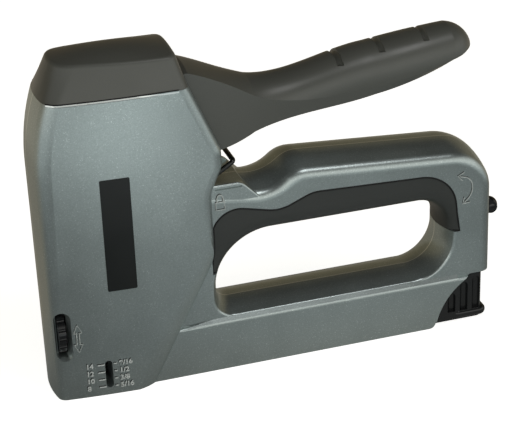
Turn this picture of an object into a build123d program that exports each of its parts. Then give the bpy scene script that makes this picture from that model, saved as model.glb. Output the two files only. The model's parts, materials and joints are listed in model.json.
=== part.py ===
from build123d import *
from math import radians, sqrt, tan
import os

# Hand-squeezed spring staple gun. Millimetres, +Z up, nose towards -X, left half on -Y.
# Lengths along the tool are measured back from the nose face. Every piece is shifted once,
# at export, so that the origin lies under the middle of the tool on its flat base.

# Clearances
RUN_GAP = 0.3          # between pieces that move past each other
SLIDE_GAP = 0.2        # between flat guides and what slides in them
PIN_GAP = 0.03         # radial, round pins and shafts
SEAM_GAP = 0.2         # visible joint round the grip insert
SEAT_GAP = 0.05        # round fixed pieces held in the casting
BAY_GAP = 0.45         # between the magazine end cap and the casting

# Casting, overall
HOUSING_LENGTH = 207.0   # nose face to rear face
BEAD_REACH = 7.0         # latch bead beyond the rear face
WALL = 3.0               # wall of the casting round the mechanism

# Head of the casting: lengths are depths behind the nose face
HEAD_HEIGHT = 137.5      # base to the joint with the cap
HEAD_WIDTH = 37.4        # widest, at the base
HEAD_TOP_WIDTH = 39.2    # widest, at the cap joint
NOSE_WIDTH = 31.4        # front corners, at the base
NOSE_TOP_WIDTH = 33.6    # front corners, at the cap joint
NOSE_BOW = 2.4           # how far the front face bows forward
NOSE_ROUND = 4.0         # front corner radius at the base
NOSE_TOP_ROUND = 8.0     # front corner radius at the cap joint
LEAN_HEIGHT = 105.0      # above this the front leans back
LEAN_RADIUS = 95.0
FOOT_DEPTH = 44.6        # head ends here at the base
HIP_DEPTH = 74.4         # head ends here beside the finger hole
HIP_HEIGHT = 55.7
HIP_RADIUS = 24.0
THROAT_HEIGHT = 88.0     # lower end of the step out to the neck
NECK_DEPTH = 79.6        # head ends here where the lever comes out
NECK_LOW = 99.0
NECK_HEIGHT = 107.0
NECK_RADIUS = 8.0
SHOULDER_DEPTH = 66.9    # head ends here at the cap joint
BARREL_DEPTH = 40.0      # the sides are widest here
BARREL_TUCK = 1.6        # and narrow by this much on each side where the loft ends
LOFT_DEPTH = 100.0
CHEEK_ROUND = 4.6        # rear edge of the cheeks
FOOT_BEVEL = 11.0        # length of the slope from the head down to the arm's side

# Grip loop of the casting
GRIP_WIDTH = 32.6        # across the palm line
LOOP_WIDTH = 27.2        # across the floor of the finger hole
GRIP_CROWN = 5.0         # the palm line falls by this to the sides
GRIP_ROUND = 5.0         # outer edges of the grip and the rear column
HOLE_CROWN = 3.6         # the finger hole opens by this towards the sides
RIM_ROUND = 1.3          # edges of the finger hole in the casting
SADDLE_DEPTH = 101.0     # lowest point of the grip, behind the neck
SADDLE_HEIGHT = 86.2
SADDLE_RADIUS = 19.0
SADDLE_SLOPE = 8.5       # drop from the head to the saddle
KNUCKLE_DEPTH = 112.5    # front end of the raised palm line
KNUCKLE_HEIGHT = 94.8
KNUCKLE_RADIUS = 13.0
HEEL_HEIGHT = 88.4       # grip line where it meets the rear column
HEEL_RADIUS = 22.0
HEEL_LEAN = 2.6          # rear face leans in by this at the heel

# Ledges beside the bail, from the head onto the saddle
LEDGE_SPAN = 31.0        # across both
LEDGE_CREST = 90.2
LEDGE_TAIL = 88.0        # their level part ends here
LEDGE_RUN = 8.0          # and falls over this length
LEDGE_BASE = 82.0
LEDGE_TURN = 5.0         # radius where it starts to fall
LEDGE_ROUND = 0.8
LEDGE_GROOVE_FRONT = 76.0
LEDGE_GROOVE_FOOT = 88.0
LEDGE_GROOVE_HEIGHT = 0.7
LEDGE_GROOVE_DEPTH = 0.9

# Finger hole
COLUMN_DEPTH = 24.0      # rear column, hole to rear face
HOLE_SETBACK = 3.0       # hole behind the hip
HOLE_HEIGHT = 33.8
HOLE_FRONT_LOW_RADIUS = 6.0
HOLE_REAR_LOW_RADIUS = 15.0
HOLE_REAR_TOP_RADIUS = 13.0
HOLE_FRONT_TOP_RADIUS = 24.0

# Lower arm
ARM_WIDTH = 30.0
ARM_HEIGHT = 28.7        # crown of the arm, floor of the finger hole
ARM_EDGE_HEIGHT = 23.7   # top of the flat side panel
ARM_EDGE_ROUND = 1.2
BAY_INSET = 29.0         # arm ends this far ahead of the rear face, at the base
BAY_REACH = 17.5         # the bay's curve runs this far back up to the column
BAY_BULGE = 2.6          # how far the curve bows towards the head
BAY_ROUND = 3.0          # lower rear corner of the arm
ARM_CORE_FRONT = 62.0    # the arm is cored out from here
ARM_CORE_STOP = 10.0     # to this far ahead of the bay
COLUMN_FOOT = 24.4       # underside of the rear column

# Grip insert
INSERT_TUCK = 0.8        # its outline starts this far inside the head, whose rear face trims it
INSERT_FOOT = 47.6       # lower ends of the insert
INSERT_RIM_ROUND = 8.0   # its edges along the finger hole
INSERT_SHOULDER_HEIGHT = 81.5
INSERT_SHOULDER_RADIUS = 12.0
INSERT_DIP_DEPTH = 104.5
INSERT_DIP_HEIGHT = 73.8
INSERT_DIP_RADIUS = 16.0
INSERT_RISE_DEPTH = 119.5
INSERT_RISE_HEIGHT = 80.2
INSERT_RISE_RADIUS = 14.0
INSERT_HEEL_INSET = 22.0   # from the rear face
INSERT_HEEL_HEIGHT = 77.6
INSERT_HEEL_RADIUS = 18.0
INSERT_REAR_INSET = 17.2

# Cap
CAP_EDGE_HEIGHT = 13.1     # joint to the straight shoulders
CAP_RISE = 3.9             # crown above the shoulders, at the middle
CAP_END_RISE = 0.8         # and at both ends
CAP_FRONT_DRAW = 5.8       # draw-in of the front face up to the shoulders
CAP_SIDE_DRAW = 5.2
CAP_REAR_DRAW = 3.6
CAP_EDGE_ROUND = 2.6
CAP_WALL = 2.5
CAP_LIP_DEPTH = 3.0
CAP_LIP_WALL = 1.6
CAP_LIP_REAR = 54.0
CAP_MOUTH_HEIGHT = 6.6     # rear mouth for the lever, above the joint

# Lever
PIVOT_DEPTH = 62.8
PIVOT_HEIGHT = 117.0
SQUEEZE_ANGLE = 16.0       # full travel of the lever, degrees
PIVOT_PIN_DIAMETER = 6.0
PIVOT_BOSS_DIAMETER = 13.0
PIVOT_PIN_REACH = 15.0      # from the middle plane, each way
BUSH_DIAMETER = 8.4
LEVER_SLOT_WIDTH = 25.8    # mouth between the cheeks
LEVER_SLOT_FLOOR = 88.4
CORE_WIDTH = 18.0          # steel channel inside the lever
CORE_SHEET = 2.0
CORE_PIVOT_RADIUS = 9.0
CORE_TIP_RADIUS = 4.2
CORE_REAR_RADIUS = 7.0     # rear bar of the channel, at the pivot
CORE_TAIL_DEPTH = 150.0
CORE_TAIL_HEIGHT = 122.6
CORE_TAIL_RADIUS = 3.5
CORE_WEB_DEPTH = 80.0      # the channel's top web starts here
NECK_TOP_DEPTH = 57.0      # lever cover starts here, under the cap
NECK_TOP_HEIGHT = 126.0    # upper end of the slanted cut that clears the pivot bosses
NECK_FOOT_DEPTH = 76.0     # lower end of that cut
TAIL_DEPTH = 197.6         # tip of the lever
# Lever cover stations: depth, underside, ridge, crown, half width below, half width at the ridge
LEVER_STATIONS = (
    (NECK_TOP_DEPTH, 104.0, 140.9, 142.4, 12.0, 12.0),
    (68.0, 104.0, 141.2, 142.8, 12.0, 12.0),
    (82.0, 105.2, 135.2, 137.2, 12.0, 12.2),
    (96.0, 110.6, 127.0, 132.3, 11.6, 12.4),
    (109.0, 113.8, 123.2, 131.7, 11.2, 12.6),
    (125.0, 115.8, 121.8, 134.5, 11.0, 12.8),
    (150.0, 118.9, 123.2, 139.3, 11.0, 12.8),
    (175.0, 124.6, 126.6, 142.1, 10.6, 12.6),
    (187.0, 128.8, 130.2, 143.0, 9.6, 12.0),
    (194.0, 130.4, 132.0, 140.0, 6.8, 8.6),
    (TAIL_DEPTH, 131.6, 132.4, 135.2, 2.5, 3.2),
)
LEVER_RUN_COUNT = (1, 2, 3, 2, 2)   # steps between stations in each smooth length
PALM_GROOVES = (135.5, 154.5, 174.8)   # depths of the grooves between the palm pads
PALM_GROOVE_RADIUS = 1.5
PALM_GROOVE_DEPTH = 1.0
PALM_GROOVE_REACH = 3.2   # below the crown

# Coils are drawn with wire of this many sides, and measured on this many points in a turn
WIRE_SIDES = 6
TURN_POINTS = 24

# Striker
LIFT_PIN_DEPTH = 14.6
LIFT_PIN_DIAMETER = 2.6
LIFT_ROLLER_DIAMETER = 4.4
HAMMER_FRONT = 9.8
HAMMER_REAR = 36.0
HAMMER_WIDTH = 13.2
HAMMER_FOOT = 48.0
HAMMER_HEIGHT = 26.0
HAMMER_CHAMFER = 2.0
STEM_THICKNESS = 1.8
HOOK_THICKNESS = 4.0
HOOK_REACH = 7.6
BLADE_THICKNESS = 1.4
BLADE_WIDTH = 10.4
BLADE_FOOT = 0.8
BLADE_TOP = 72.0
RIVET_DIAMETER = 3.0
RIVET_LENGTH = 6.0
RIVET_RISE = 7.0           # first rivet above the hammer's foot
RIVET_PITCH = 12.0
SPRING_DEPTH = 27.0
SPRING_DIAMETER = 13.0
SPRING_WIRE = 2.2
SPRING_TURNS = 8
SEAT_THICKNESS = 3.0
SEAT_LENGTH = 18.0
SEAT_WIDTH = 34.0
SEAT_TOP = 133.8
SEAT_SPIGOT_HEIGHT = 4.0
BUMPER_HEIGHT = 9.0
BUMPER_LENGTH = 24.0
BUMPER_WIDTH = 17.0
LEDGE_HEIGHT = 5.0
LEDGE_REAR = 38.0
LEDGE_SPACING = 8.0        # clear width between the two ledges
GUIDE_THICKNESS = 3.0
GUIDE_DEPTHS = (19.0, 33.0)
GUIDE_TOP = 99.0
RETURN_WIRE = 1.4
RETURN_GAP = 0.5           # between its turns
RETURN_DIAMETER = 12.4
RETURN_TURNS = 5
RETURN_LEG = 13.0
RETURN_TURN = 90.0         # turns the legs about the pivot, degrees

# Power wheel
WHEEL_DEPTH = 5.4
WHEEL_HEIGHT = 31.3
WHEEL_OFFSET = 7.4         # left of the middle plane
WHEEL_DIAMETER = 20.8
WHEEL_THICKNESS = 3.2
WHEEL_NOTCHES = 16
WHEEL_NOTCH_RADIUS = 0.8
WHEEL_WELL_LENGTH = 20.6   # floor of the finger well
WHEEL_WELL_WIDTH = 4.4
WHEEL_WELL_DEPTH = 3.0
WHEEL_WELL_TAPER = 24.0    # slope of its walls, degrees
CAM_SHAFT_DIAMETER = 3.4
CAM_FRONT = 10.3
CAM_LENGTH = 4.6
CAM_DIAMETER = 11.0
CAM_THROW = 1.4
CAM_BEARING_THICKNESS = 2.6
SHAFT_FRONT = 1.9          # blind end of the shaft's bore in the nose

# Nose and magazine
NOSE_PLATE_THICKNESS = 1.4
NOSE_PLATE_WIDTH = 18.0
NOSE_PLATE_HEIGHT = 19.6
CHANNEL_WIDTH = 14.4
CHANNEL_HEIGHT = 18.6
CHANNEL_SHEET = 1.0
CHANNEL_STOP = 3.2         # ahead of the bay
CHANNEL_FOOT = 0.6
CAVITY_FLOOR = 22.0
RAIL_WIDTH = 8.4
RAIL_SHEET = 0.9
RAIL_FOOT = 0.9
RAIL_TOP = 15.2
RAIL_INSET = 5.0           # from the end cap's rear face
RAIL_SLOT_WIDTH = 3.0
FOLLOWER_LENGTH = 18.0
FOLLOWER_WIDTH = 10.6
FOLLOWER_TOP = 17.2
FOLLOWER_FOOT = 1.6
FOLLOWER_WEB = 2.2
FOLLOWER_CORE_LENGTH = 12.0
FOLLOWER_CORE_WIDTH = 5.8
FOLLOWER_CORE_FOOT = 4.4
FOLLOWER_TRAVEL = 95.0
NOSE_BLOCK_LENGTH = 1.9
ROD_HEIGHT = 9.0
ROD_DIAMETER = 3.0
ROD_INSET = 12.0           # from the end cap's rear face
FOLLOWER_SPRING_DIAMETER = 5.6
FOLLOWER_SPRING_WIRE = 0.7
FOLLOWER_SPRING_TURNS = 20
END_CAP_WIDTH = 26.4
END_CAP_INSET = 5.0        # from the rear face
END_CAP_FOOT = 1.4
TONGUE_SETBACK = 5.0       # end cap's tongue in the rail, behind the bay's foot
END_CAP_ROUND = 3.0
LIP_REACH = 2.4            # behind the end cap
LIP_LENGTH = 15.0          # ahead of its rear face
LIP_FLARE = 0.7            # beyond its sides
LIP_HEIGHT = 4.2
LIP_ROUND = 1.9
FLUTE_PITCH = 6.0
FLUTE_RADIUS = 1.9
FLUTE_SETBACK = 8.6        # first flute behind the bay's foot
FLUTE_COUNT = 3
FLUTE_CLEAR = 3.6          # left above each flute
END_PIN_INSET = 8.0        # from the end cap's rear face
END_PIN_HEIGHT = 4.2
END_PIN_DIAMETER = 2.4
END_PIN_REACH = 8.0
WINDOW_DEPTH = 22.3
WINDOW_WIDTH = 3.3
WINDOW_FOOT = 3.6
WINDOW_HEIGHT = 13.4

# Magazine latch
LATCH_PIVOT_INSET = 7.5    # from the rear face
LATCH_PIVOT_HEIGHT = 58.0
LATCH_PIN_DIAMETER = 4.0
LATCH_PIN_LENGTH = 19.0
LATCH_WIDTH = 7.2
LATCH_HUB_RADIUS = 4.4
LATCH_ARM_RADIUS = 2.6
BEAD_DIAMETER = 8.0
BEAD_NECK = 5.6            # end of the wedge that carries the bead
BEAD_HEIGHT = 51.0
LATCH_SLOT_LENGTH = 19.4   # from the rear face
LATCH_SLOT_HEIGHT = 66.0

# Lock bail
BAIL_WIRE = 2.2
BAIL_PIVOT_DEPTH = 73.0
BAIL_PIVOT_HEIGHT = 90.5
BAIL_BAR_DEPTH = 86.0
BAIL_BAR_HEIGHT = 98.6
BAIL_PEG = 3.6             # reach of each end into its cheek
BAIL_BEND_RADIUS = 1.6

# Housing screws: depth, height
REAR_SCREW_DEPTH = HOUSING_LENGTH - 14.0
SCREWS = ((52.0, 92.0), (66.0, 67.0), (50.0, 38.0), (110.0, 81.0), (REAR_SCREW_DEPTH, 72.0))
SCREW_DIAMETER = 3.2
SCREW_HEAD_DIAMETER = 6.2
SCREW_HEAD_HEIGHT = 2.2
SCREW_BOSS_DIAMETER = 7.4
SCREW_SINK = 2.8           # depth of the counterbore
SCREW_REACH = 9.0          # into the left half
SCREW_SOCKET = 1.5         # half the hexagon across its corners
SOCKET_DEPTH = 1.2
SOCKET_SIDES = 6

# How far an edge may lie from an outline and still belong to it, and the least upward part of
# an upright edge's direction
EDGE_CLEAR = 1.0
UPRIGHT = 0.3

# Places worked out from the sizes above
NOSE_X = -(HOUSING_LENGTH + BEAD_REACH) / 2
HOLE_FRONT = HIP_DEPTH + HOLE_SETBACK
HOLE_REAR = HOUSING_LENGTH - COLUMN_DEPTH
HOLE_TOP = ARM_HEIGHT + HOLE_HEIGHT
FAR = 2 * HOUSING_LENGTH     # longer than any cut has to reach
INSERT_FRONT = HIP_DEPTH - INSERT_TUCK
CAP_HEIGHT = CAP_EDGE_HEIGHT + CAP_RISE
BAY_DEPTH = HOUSING_LENGTH - BAY_INSET
ARM_CORE_REAR = BAY_DEPTH - ARM_CORE_STOP
CHANNEL_REAR = BAY_DEPTH - CHANNEL_STOP
SLOT_HALF = LEVER_SLOT_WIDTH / 2
LEVER_SLOT_FRONT = PIVOT_DEPTH + PIVOT_BOSS_DIAMETER / 2
RETURN_LENGTH = RETURN_TURNS * (RETURN_WIRE + RETURN_GAP) + RETURN_WIRE
LIFT_ARM = PIVOT_DEPTH - LIFT_PIN_DEPTH
LIFT_PIN_HEIGHT = PIVOT_HEIGHT - LIFT_ARM * tan(radians(SQUEEZE_ANGLE / 2))
HOOK_FOOT = LIFT_PIN_HEIGHT + LIFT_ROLLER_DIAMETER / 2 + RUN_GAP
HAMMER_TOP = HAMMER_FOOT + HAMMER_HEIGHT
BLADE_FRONT = HAMMER_FRONT - BLADE_THICKNESS
NOSE_PLATE_REAR = BLADE_FRONT - SLIDE_GAP
MAGAZINE_FRONT = HAMMER_FRONT + RUN_GAP
SEAT_FOOT = SEAT_TOP - SEAT_THICKNESS
BUMPER_TOP = HAMMER_FOOT - RUN_GAP
LEDGE_TOP = BUMPER_TOP - BUMPER_HEIGHT
CAM_BEARING_FRONT = CAM_FRONT + CAM_LENGTH + RUN_GAP
RAIL_FRONT = MAGAZINE_FRONT + SLIDE_GAP
BLOCK_REAR = RAIL_FRONT + NOSE_BLOCK_LENGTH
FOLLOWER_CORE_FRONT = BLOCK_REAR + RUN_GAP
FOLLOWER_CORE_REAR = FOLLOWER_CORE_FRONT + FOLLOWER_CORE_LENGTH
END_CAP_TOP = COLUMN_FOOT - BAY_GAP
END_CAP_REAR = HOUSING_LENGTH - END_CAP_INSET
END_CAP_POCKET_FRONT = BAY_DEPTH + TONGUE_SETBACK
RAIL_REAR = END_CAP_REAR - RAIL_INSET
ROD_REAR = END_CAP_REAR - ROD_INSET
END_PIN_DEPTH = END_CAP_REAR - END_PIN_INSET
FLUTE_FRONT = BAY_DEPTH + FLUTE_SETBACK
LATCH_PIVOT_DEPTH = HOUSING_LENGTH - LATCH_PIVOT_INSET
LATCH_SLOT_FRONT = HOUSING_LENGTH - LATCH_SLOT_LENGTH
BEAD_DEPTH = HOUSING_LENGTH + BEAD_REACH - BEAD_DIAMETER / 2
TOE_HEIGHT = END_CAP_TOP + RUN_GAP + LATCH_ARM_RADIUS
BAIL_LEG = SLOT_HALF - BAIL_BEND_RADIUS - SEAT_GAP


# Small shapes
def prism(face, half_width):
    """Side-view face, drawn in depth and height, carried to both sides of the middle plane."""
    return extrude(Plane.XZ * face, amount=half_width, both=True)


def slab(face, left, right):
    """Side-view face carried from one cross position to another."""
    return Pos(0, right, 0) * extrude(Plane.XZ * face, amount=right - left)


def block(front, rear, left, right, foot, top):
    middle = ((front + rear) / 2, (left + right) / 2, (foot + top) / 2)
    return Pos(*middle) * Box(rear - front, right - left, top - foot)


def cross_rod(depth, height, radius, left, right):
    return Pos(depth, (left + right) / 2, height) * Rot(90, 0, 0) * Cylinder(radius, right - left)


def long_rod(front, rear, across, height, radius):
    return Pos((front + rear) / 2, across, height) * Rot(0, 90, 0) * Cylinder(radius, rear - front)


def outline(*corners, radii):
    """Closed face with rounded corners, in order."""
    return make_face(FilletPolyline(*corners, radius=radii, close=True))


def link(start, start_radius, end, end_radius):
    """Side-view bar between two round ends."""
    ends = Pos(*start) * Circle(start_radius) + Pos(*end) * Circle(end_radius)
    return make_hull(ends.edges())


def least_gap(path, wire, turns):
    """Least clear gap between a coil's turns, measured on points along its path."""
    points = [path @ (step / (turns * TURN_POINTS)) for step in range(turns * TURN_POINTS + 1)]
    half_turn = TURN_POINTS // 2
    return min(
        (later - point).length
        for step, point in enumerate(points)
        for later in points[step + half_turn:step + half_turn + TURN_POINTS]
    ) - wire


def coil(name, radius, wire, length, turns):
    """Wire coil that stands on the origin along Z."""
    pitch = (length - wire) / turns
    path = Pos(0, 0, wire / 2) * Helix(pitch, length - wire, radius)
    print(f"{name}: {turns} turns, least gap to itself {least_gap(path, wire, turns):.2f} mm")
    start = Plane(origin=path @ 0, z_dir=path % 0)
    return sweep(start * RegularPolygon(wire / 2, WIRE_SIDES), path=path, is_frenet=True)


# Casting
def lean(height):
    """How far the front face has leaned back at a height."""
    above = max(height - LEAN_HEIGHT, 0)
    return LEAN_RADIUS - sqrt(LEAN_RADIUS**2 - above**2)


def plan(front, half_front, half_middle, corner_round):
    """Plan outline of the head: bowed front, rounded corners, barrel sides, open-ended to the rear."""
    half_rear = half_middle - BARREL_TUCK
    corner = front + NOSE_BOW
    edges = [
        ThreePointArc((corner, half_front), (front, 0), (corner, -half_front)),
        ThreePointArc((corner, -half_front), (BARREL_DEPTH, -half_middle), (LOFT_DEPTH, -half_rear)),
        Line((LOFT_DEPTH, -half_rear), (LOFT_DEPTH, half_rear)),
        ThreePointArc((LOFT_DEPTH, half_rear), (BARREL_DEPTH, half_middle), (corner, half_front)),
    ]
    face = make_face(edges)
    return fillet(face.vertices().sort_by(Axis.X)[:2], max(corner_round, SEAM_GAP))


def half_middle_at(height):
    """Half width of the head where it is widest, at a height."""
    return (HEAD_WIDTH + (HEAD_TOP_WIDTH - HEAD_WIDTH) * height / HEAD_HEIGHT) / 2


def head_section(height, inset):
    share = height / HEAD_HEIGHT
    half_middle = half_middle_at(height) - inset
    half_front = (NOSE_WIDTH + (NOSE_TOP_WIDTH - NOSE_WIDTH) * share) / 2 - inset
    corner_round = NOSE_ROUND + (NOSE_TOP_ROUND - NOSE_ROUND) * share - inset
    return Pos(0, 0, height) * plan(lean(height) + inset, half_front, half_middle, corner_round)


def head_side():
    """Side outline of the head, from the base to the cap joint."""
    return outline(
        (0, 0),
        (FOOT_DEPTH, 0),
        (HIP_DEPTH, HIP_HEIGHT),
        (HIP_DEPTH, THROAT_HEIGHT),
        (NECK_DEPTH, NECK_LOW),
        (NECK_DEPTH, NECK_HEIGHT),
        (SHOULDER_DEPTH, HEAD_HEIGHT),
        (0, HEAD_HEIGHT),
        radii=[0, 0, HIP_RADIUS, NECK_RADIUS, NECK_RADIUS, NECK_RADIUS, 0, 0],
    )


def head_loft(inset):
    """Upright lower part and leaning upper part, open-ended to the rear."""
    lower = loft([head_section(0, inset), head_section(LEAN_HEIGHT, inset)], ruled=True)
    middle = (LEAN_HEIGHT + HEAD_HEIGHT) / 2
    upper = loft([head_section(height, inset) for height in (LEAN_HEIGHT, middle, HEAD_HEIGHT)])
    return lower + upper


def foot_bevel(inset):
    """Rounded cut on both sides that runs the head down to the arm along its slanted foot."""
    run = Vector(HIP_DEPTH - FOOT_DEPTH, 0, HIP_HEIGHT).normalized()
    across = ARM_WIDTH / 2 - inset
    top = half_middle_at(HIP_HEIGHT) - inset
    slope = make_face([
        TangentArc((-FOOT_BEVEL, top), (0, across), tangent=(1, 0)),
        Polyline((0, across), (FAR, across), (FAR, FAR), (-FOOT_BEVEL, FAR), (-FOOT_BEVEL, top)),
    ])
    start = Vector(FOOT_DEPTH, 0, 0) - run * HIP_HEIGHT
    plane = Plane(origin=start, x_dir=Vector(run.Z, 0, -run.X), z_dir=-run)
    cut = extrude(plane * slope, amount=-3 * HIP_HEIGHT)
    return cut + mirror(cut, about=Plane.XZ)


def head_form():
    head = head_loft(0) & prism(head_side(), HEAD_TOP_WIDTH)
    rear_edges = head.edges().filter_by(
        lambda e: e.center().X > FOOT_DEPTH
        and abs(e.center().Y) > SLOT_HALF
        and EDGE_CLEAR < e.center().Z < HEAD_HEIGHT - EDGE_CLEAR
        and abs((e % 0.5).Z) > UPRIGHT
    )
    return fillet(rear_edges, CHEEK_ROUND) - foot_bevel(0)


def finger_hole():
    return outline(
        (HOLE_FRONT, ARM_HEIGHT),
        (HOLE_REAR, ARM_HEIGHT),
        (HOLE_REAR, HOLE_TOP),
        (HOLE_FRONT, HOLE_TOP),
        radii=[HOLE_FRONT_LOW_RADIUS, HOLE_REAR_LOW_RADIUS, HOLE_REAR_TOP_RADIUS, HOLE_FRONT_TOP_RADIUS],
    )


def loop_half(height):
    """Half width of the loop's drafted sides at a height."""
    slope = (GRIP_WIDTH - LOOP_WIDTH) / (KNUCKLE_HEIGHT - ARM_HEIGHT)
    return (LOOP_WIDTH + slope * (height - ARM_HEIGHT)) / 2


def loop_section(across):
    """Side outline of the grip and the rear column, lowered by the palm's crown at a cross position."""
    drop = GRIP_CROWN * (2 * across / GRIP_WIDTH)**2
    face = outline(
        (FOOT_DEPTH, -ARM_HEIGHT),
        (FOOT_DEPTH, SADDLE_HEIGHT + SADDLE_SLOPE),
        (SADDLE_DEPTH, SADDLE_HEIGHT),
        (KNUCKLE_DEPTH, KNUCKLE_HEIGHT),
        (HOUSING_LENGTH - HEEL_LEAN, HEEL_HEIGHT),
        (HOUSING_LENGTH, -ARM_HEIGHT),
        radii=[0, 0, SADDLE_RADIUS, KNUCKLE_RADIUS, HEEL_RADIUS, 0],
    )
    return Pos(0, across, -drop) * (Plane.XZ * face)


def hole_form():
    """Finger hole with crowned walls."""
    half = HEAD_TOP_WIDTH / 2
    mouth = offset(finger_hole(), HOLE_CROWN * (2 * half / LOOP_WIDTH)**2)
    stages = ((-half, mouth), (0, finger_hole()), (half, mouth))
    return loft([Pos(0, across, 0) * (Plane.XZ * face) for across, face in stages])


def loop_form(rim_round):
    """Grip, rear column and crown of the arm as one loop round the finger hole."""
    loop = loft([loop_section(across) for across in (-HEAD_TOP_WIDTH / 2, 0, HEAD_TOP_WIDTH / 2)])
    foot, top = loop_half(0), loop_half(HEAD_HEIGHT)
    draft = make_face(Polyline((-foot, 0), (foot, 0), (top, HEAD_HEIGHT), (-top, HEAD_HEIGHT), close=True))
    loop &= extrude(Plane.YZ * draft, amount=FAR)
    sides = loop.faces().sort_by(Axis.Y)
    crests = (sides[0].edges() + sides[-1].edges()).filter_by(
        lambda e: e.center().X > FOOT_DEPTH + EDGE_CLEAR and e.center().Z > EDGE_CLEAR
    )
    loop = fillet(crests, GRIP_ROUND) - hole_form()
    reach = HOLE_CROWN + 2 * EDGE_CLEAR
    rims = loop.edges().filter_by(
        lambda e: HOLE_FRONT - reach < e.center().X < HOLE_REAR + reach
        and ARM_HEIGHT - reach < e.center().Z < HOLE_TOP + reach
        and abs(e.center().Y) > SLOT_HALF
    )
    return fillet(rims, rim_round)


def bail_ledges():
    """Ledges on both sides of the bail, with a fine groove along their outer faces."""
    tail = LEDGE_TAIL + LEDGE_RUN
    face = outline(
        (HIP_DEPTH - WALL, LEDGE_BASE),
        (HIP_DEPTH - WALL, LEDGE_CREST),
        (LEDGE_TAIL, LEDGE_CREST),
        (tail, LEDGE_BASE),
        radii=[0, 0, LEDGE_TURN, 0],
    )
    half = LEDGE_SPAN / 2
    ledges = prism(face, half)
    crests = ledges.faces().filter_by(Axis.Y).edges().filter_by(
        lambda e: e.center().X > HIP_DEPTH and e.center().Z > LEDGE_BASE + EDGE_CLEAR
    )
    ledges = fillet(crests, LEDGE_ROUND)
    top = LEDGE_GROOVE_FOOT + LEDGE_GROOVE_HEIGHT
    floor = half - LEDGE_GROOVE_DEPTH
    for left, right in ((-HEAD_TOP_WIDTH, -floor), (floor, HEAD_TOP_WIDTH)):
        ledges -= block(LEDGE_GROOVE_FRONT, LEDGE_TAIL, left, right, LEDGE_GROOVE_FOOT, top)
    return ledges


def arm_panel():
    rear = HOUSING_LENGTH - GRIP_ROUND
    panel = block(BARREL_DEPTH, rear, -ARM_WIDTH / 2, ARM_WIDTH / 2, 0, ARM_EDGE_HEIGHT)
    crease = panel.edges().filter_by(Axis.X).sort_by(Axis.Z)[-2:]
    return fillet(crease, ARM_EDGE_ROUND)


def bay_face(gap):
    """Space behind the arm and under the column for the magazine's end cap."""
    low = (BAY_DEPTH + gap, 0)
    high = (BAY_DEPTH + BAY_REACH + gap, COLUMN_FOOT - gap)
    bow = (Vector(*low) + Vector(*high)) / 2 + Vector(-BAY_BULGE, BAY_BULGE)
    edges = [
        ThreePointArc(low, (bow.X, bow.Y), high),
        Polyline(high, (FAR, COLUMN_FOOT - gap), (FAR, -FAR), (low[0], -FAR), low),
    ]
    return make_face(edges)


def insert_face():
    """Side outline of everything the insert replaces, closed across the finger hole."""
    return outline(
        (INSERT_FRONT, INSERT_FOOT),
        (INSERT_FRONT, INSERT_SHOULDER_HEIGHT),
        (INSERT_DIP_DEPTH, INSERT_DIP_HEIGHT),
        (INSERT_RISE_DEPTH, INSERT_RISE_HEIGHT),
        (HOUSING_LENGTH - INSERT_HEEL_INSET, INSERT_HEEL_HEIGHT),
        (HOUSING_LENGTH - INSERT_REAR_INSET, INSERT_FOOT),
        radii=[0, INSERT_SHOULDER_RADIUS, INSERT_DIP_RADIUS, INSERT_RISE_RADIUS, INSERT_HEEL_RADIUS, 0],
    )


def screw_bosses():
    """Bosses inside the head that the long screws pass through."""
    reach = HEAD_TOP_WIDTH / 2
    return [
        cross_rod(depth, height, SCREW_BOSS_DIAMETER / 2, -reach, reach)
        for depth, height in SCREWS
        if depth < HIP_DEPTH
    ]


def head_fittings():
    """Ribs, ledges and bosses that carry the mechanism; trimmed to the hollow they stand in."""
    side = HEAD_TOP_WIDTH / 2
    clear = HAMMER_WIDTH / 2 + RUN_GAP
    pivot_clear = CORE_WIDTH / 2 + RUN_GAP
    ledge_front = CAM_BEARING_FRONT + CAM_BEARING_THICKNESS
    fittings = screw_bosses()
    for sign in (-1, 1):
        inner, outer = sorted((sign * pivot_clear, sign * side))
        fittings.append(cross_rod(PIVOT_DEPTH, PIVOT_HEIGHT, PIVOT_BOSS_DIAMETER / 2, inner, outer))
        inner, outer = sorted((sign * LEDGE_SPACING / 2, sign * side))
        fittings.append(block(ledge_front, LEDGE_REAR, inner, outer, LEDGE_TOP - LEDGE_HEIGHT, LEDGE_TOP))
        inner, outer = sorted((sign * clear, sign * side))
        for depth in GUIDE_DEPTHS:
            rear = depth + GUIDE_THICKNESS
            fittings.append(block(depth, rear, inner, outer, HAMMER_FOOT, GUIDE_TOP))
    bearing_side = WHEEL_OFFSET - CAM_SHAFT_DIAMETER
    bearing_top = WHEEL_HEIGHT + CAM_SHAFT_DIAMETER
    fittings.append(block(
        CAM_BEARING_FRONT, ledge_front, -side, -bearing_side, CAVITY_FLOOR, bearing_top,
    ))
    return fittings


def head_hollow():
    mouth = Pos(SHOULDER_DEPTH / 2, HEAD_HEIGHT - WALL) * Rectangle(SHOULDER_DEPTH - 2 * WALL, 2 * WALL)
    hollow = head_loft(WALL) & prism(offset(head_side(), -WALL) + mouth, HEAD_TOP_WIDTH)
    hollow &= block(0, LOFT_DEPTH, -HEAD_TOP_WIDTH, HEAD_TOP_WIDTH, CAVITY_FLOOR, HEAD_HEIGHT)
    hollow -= foot_bevel(WALL)
    for fitting in head_fittings():
        hollow -= fitting
    return hollow


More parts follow.
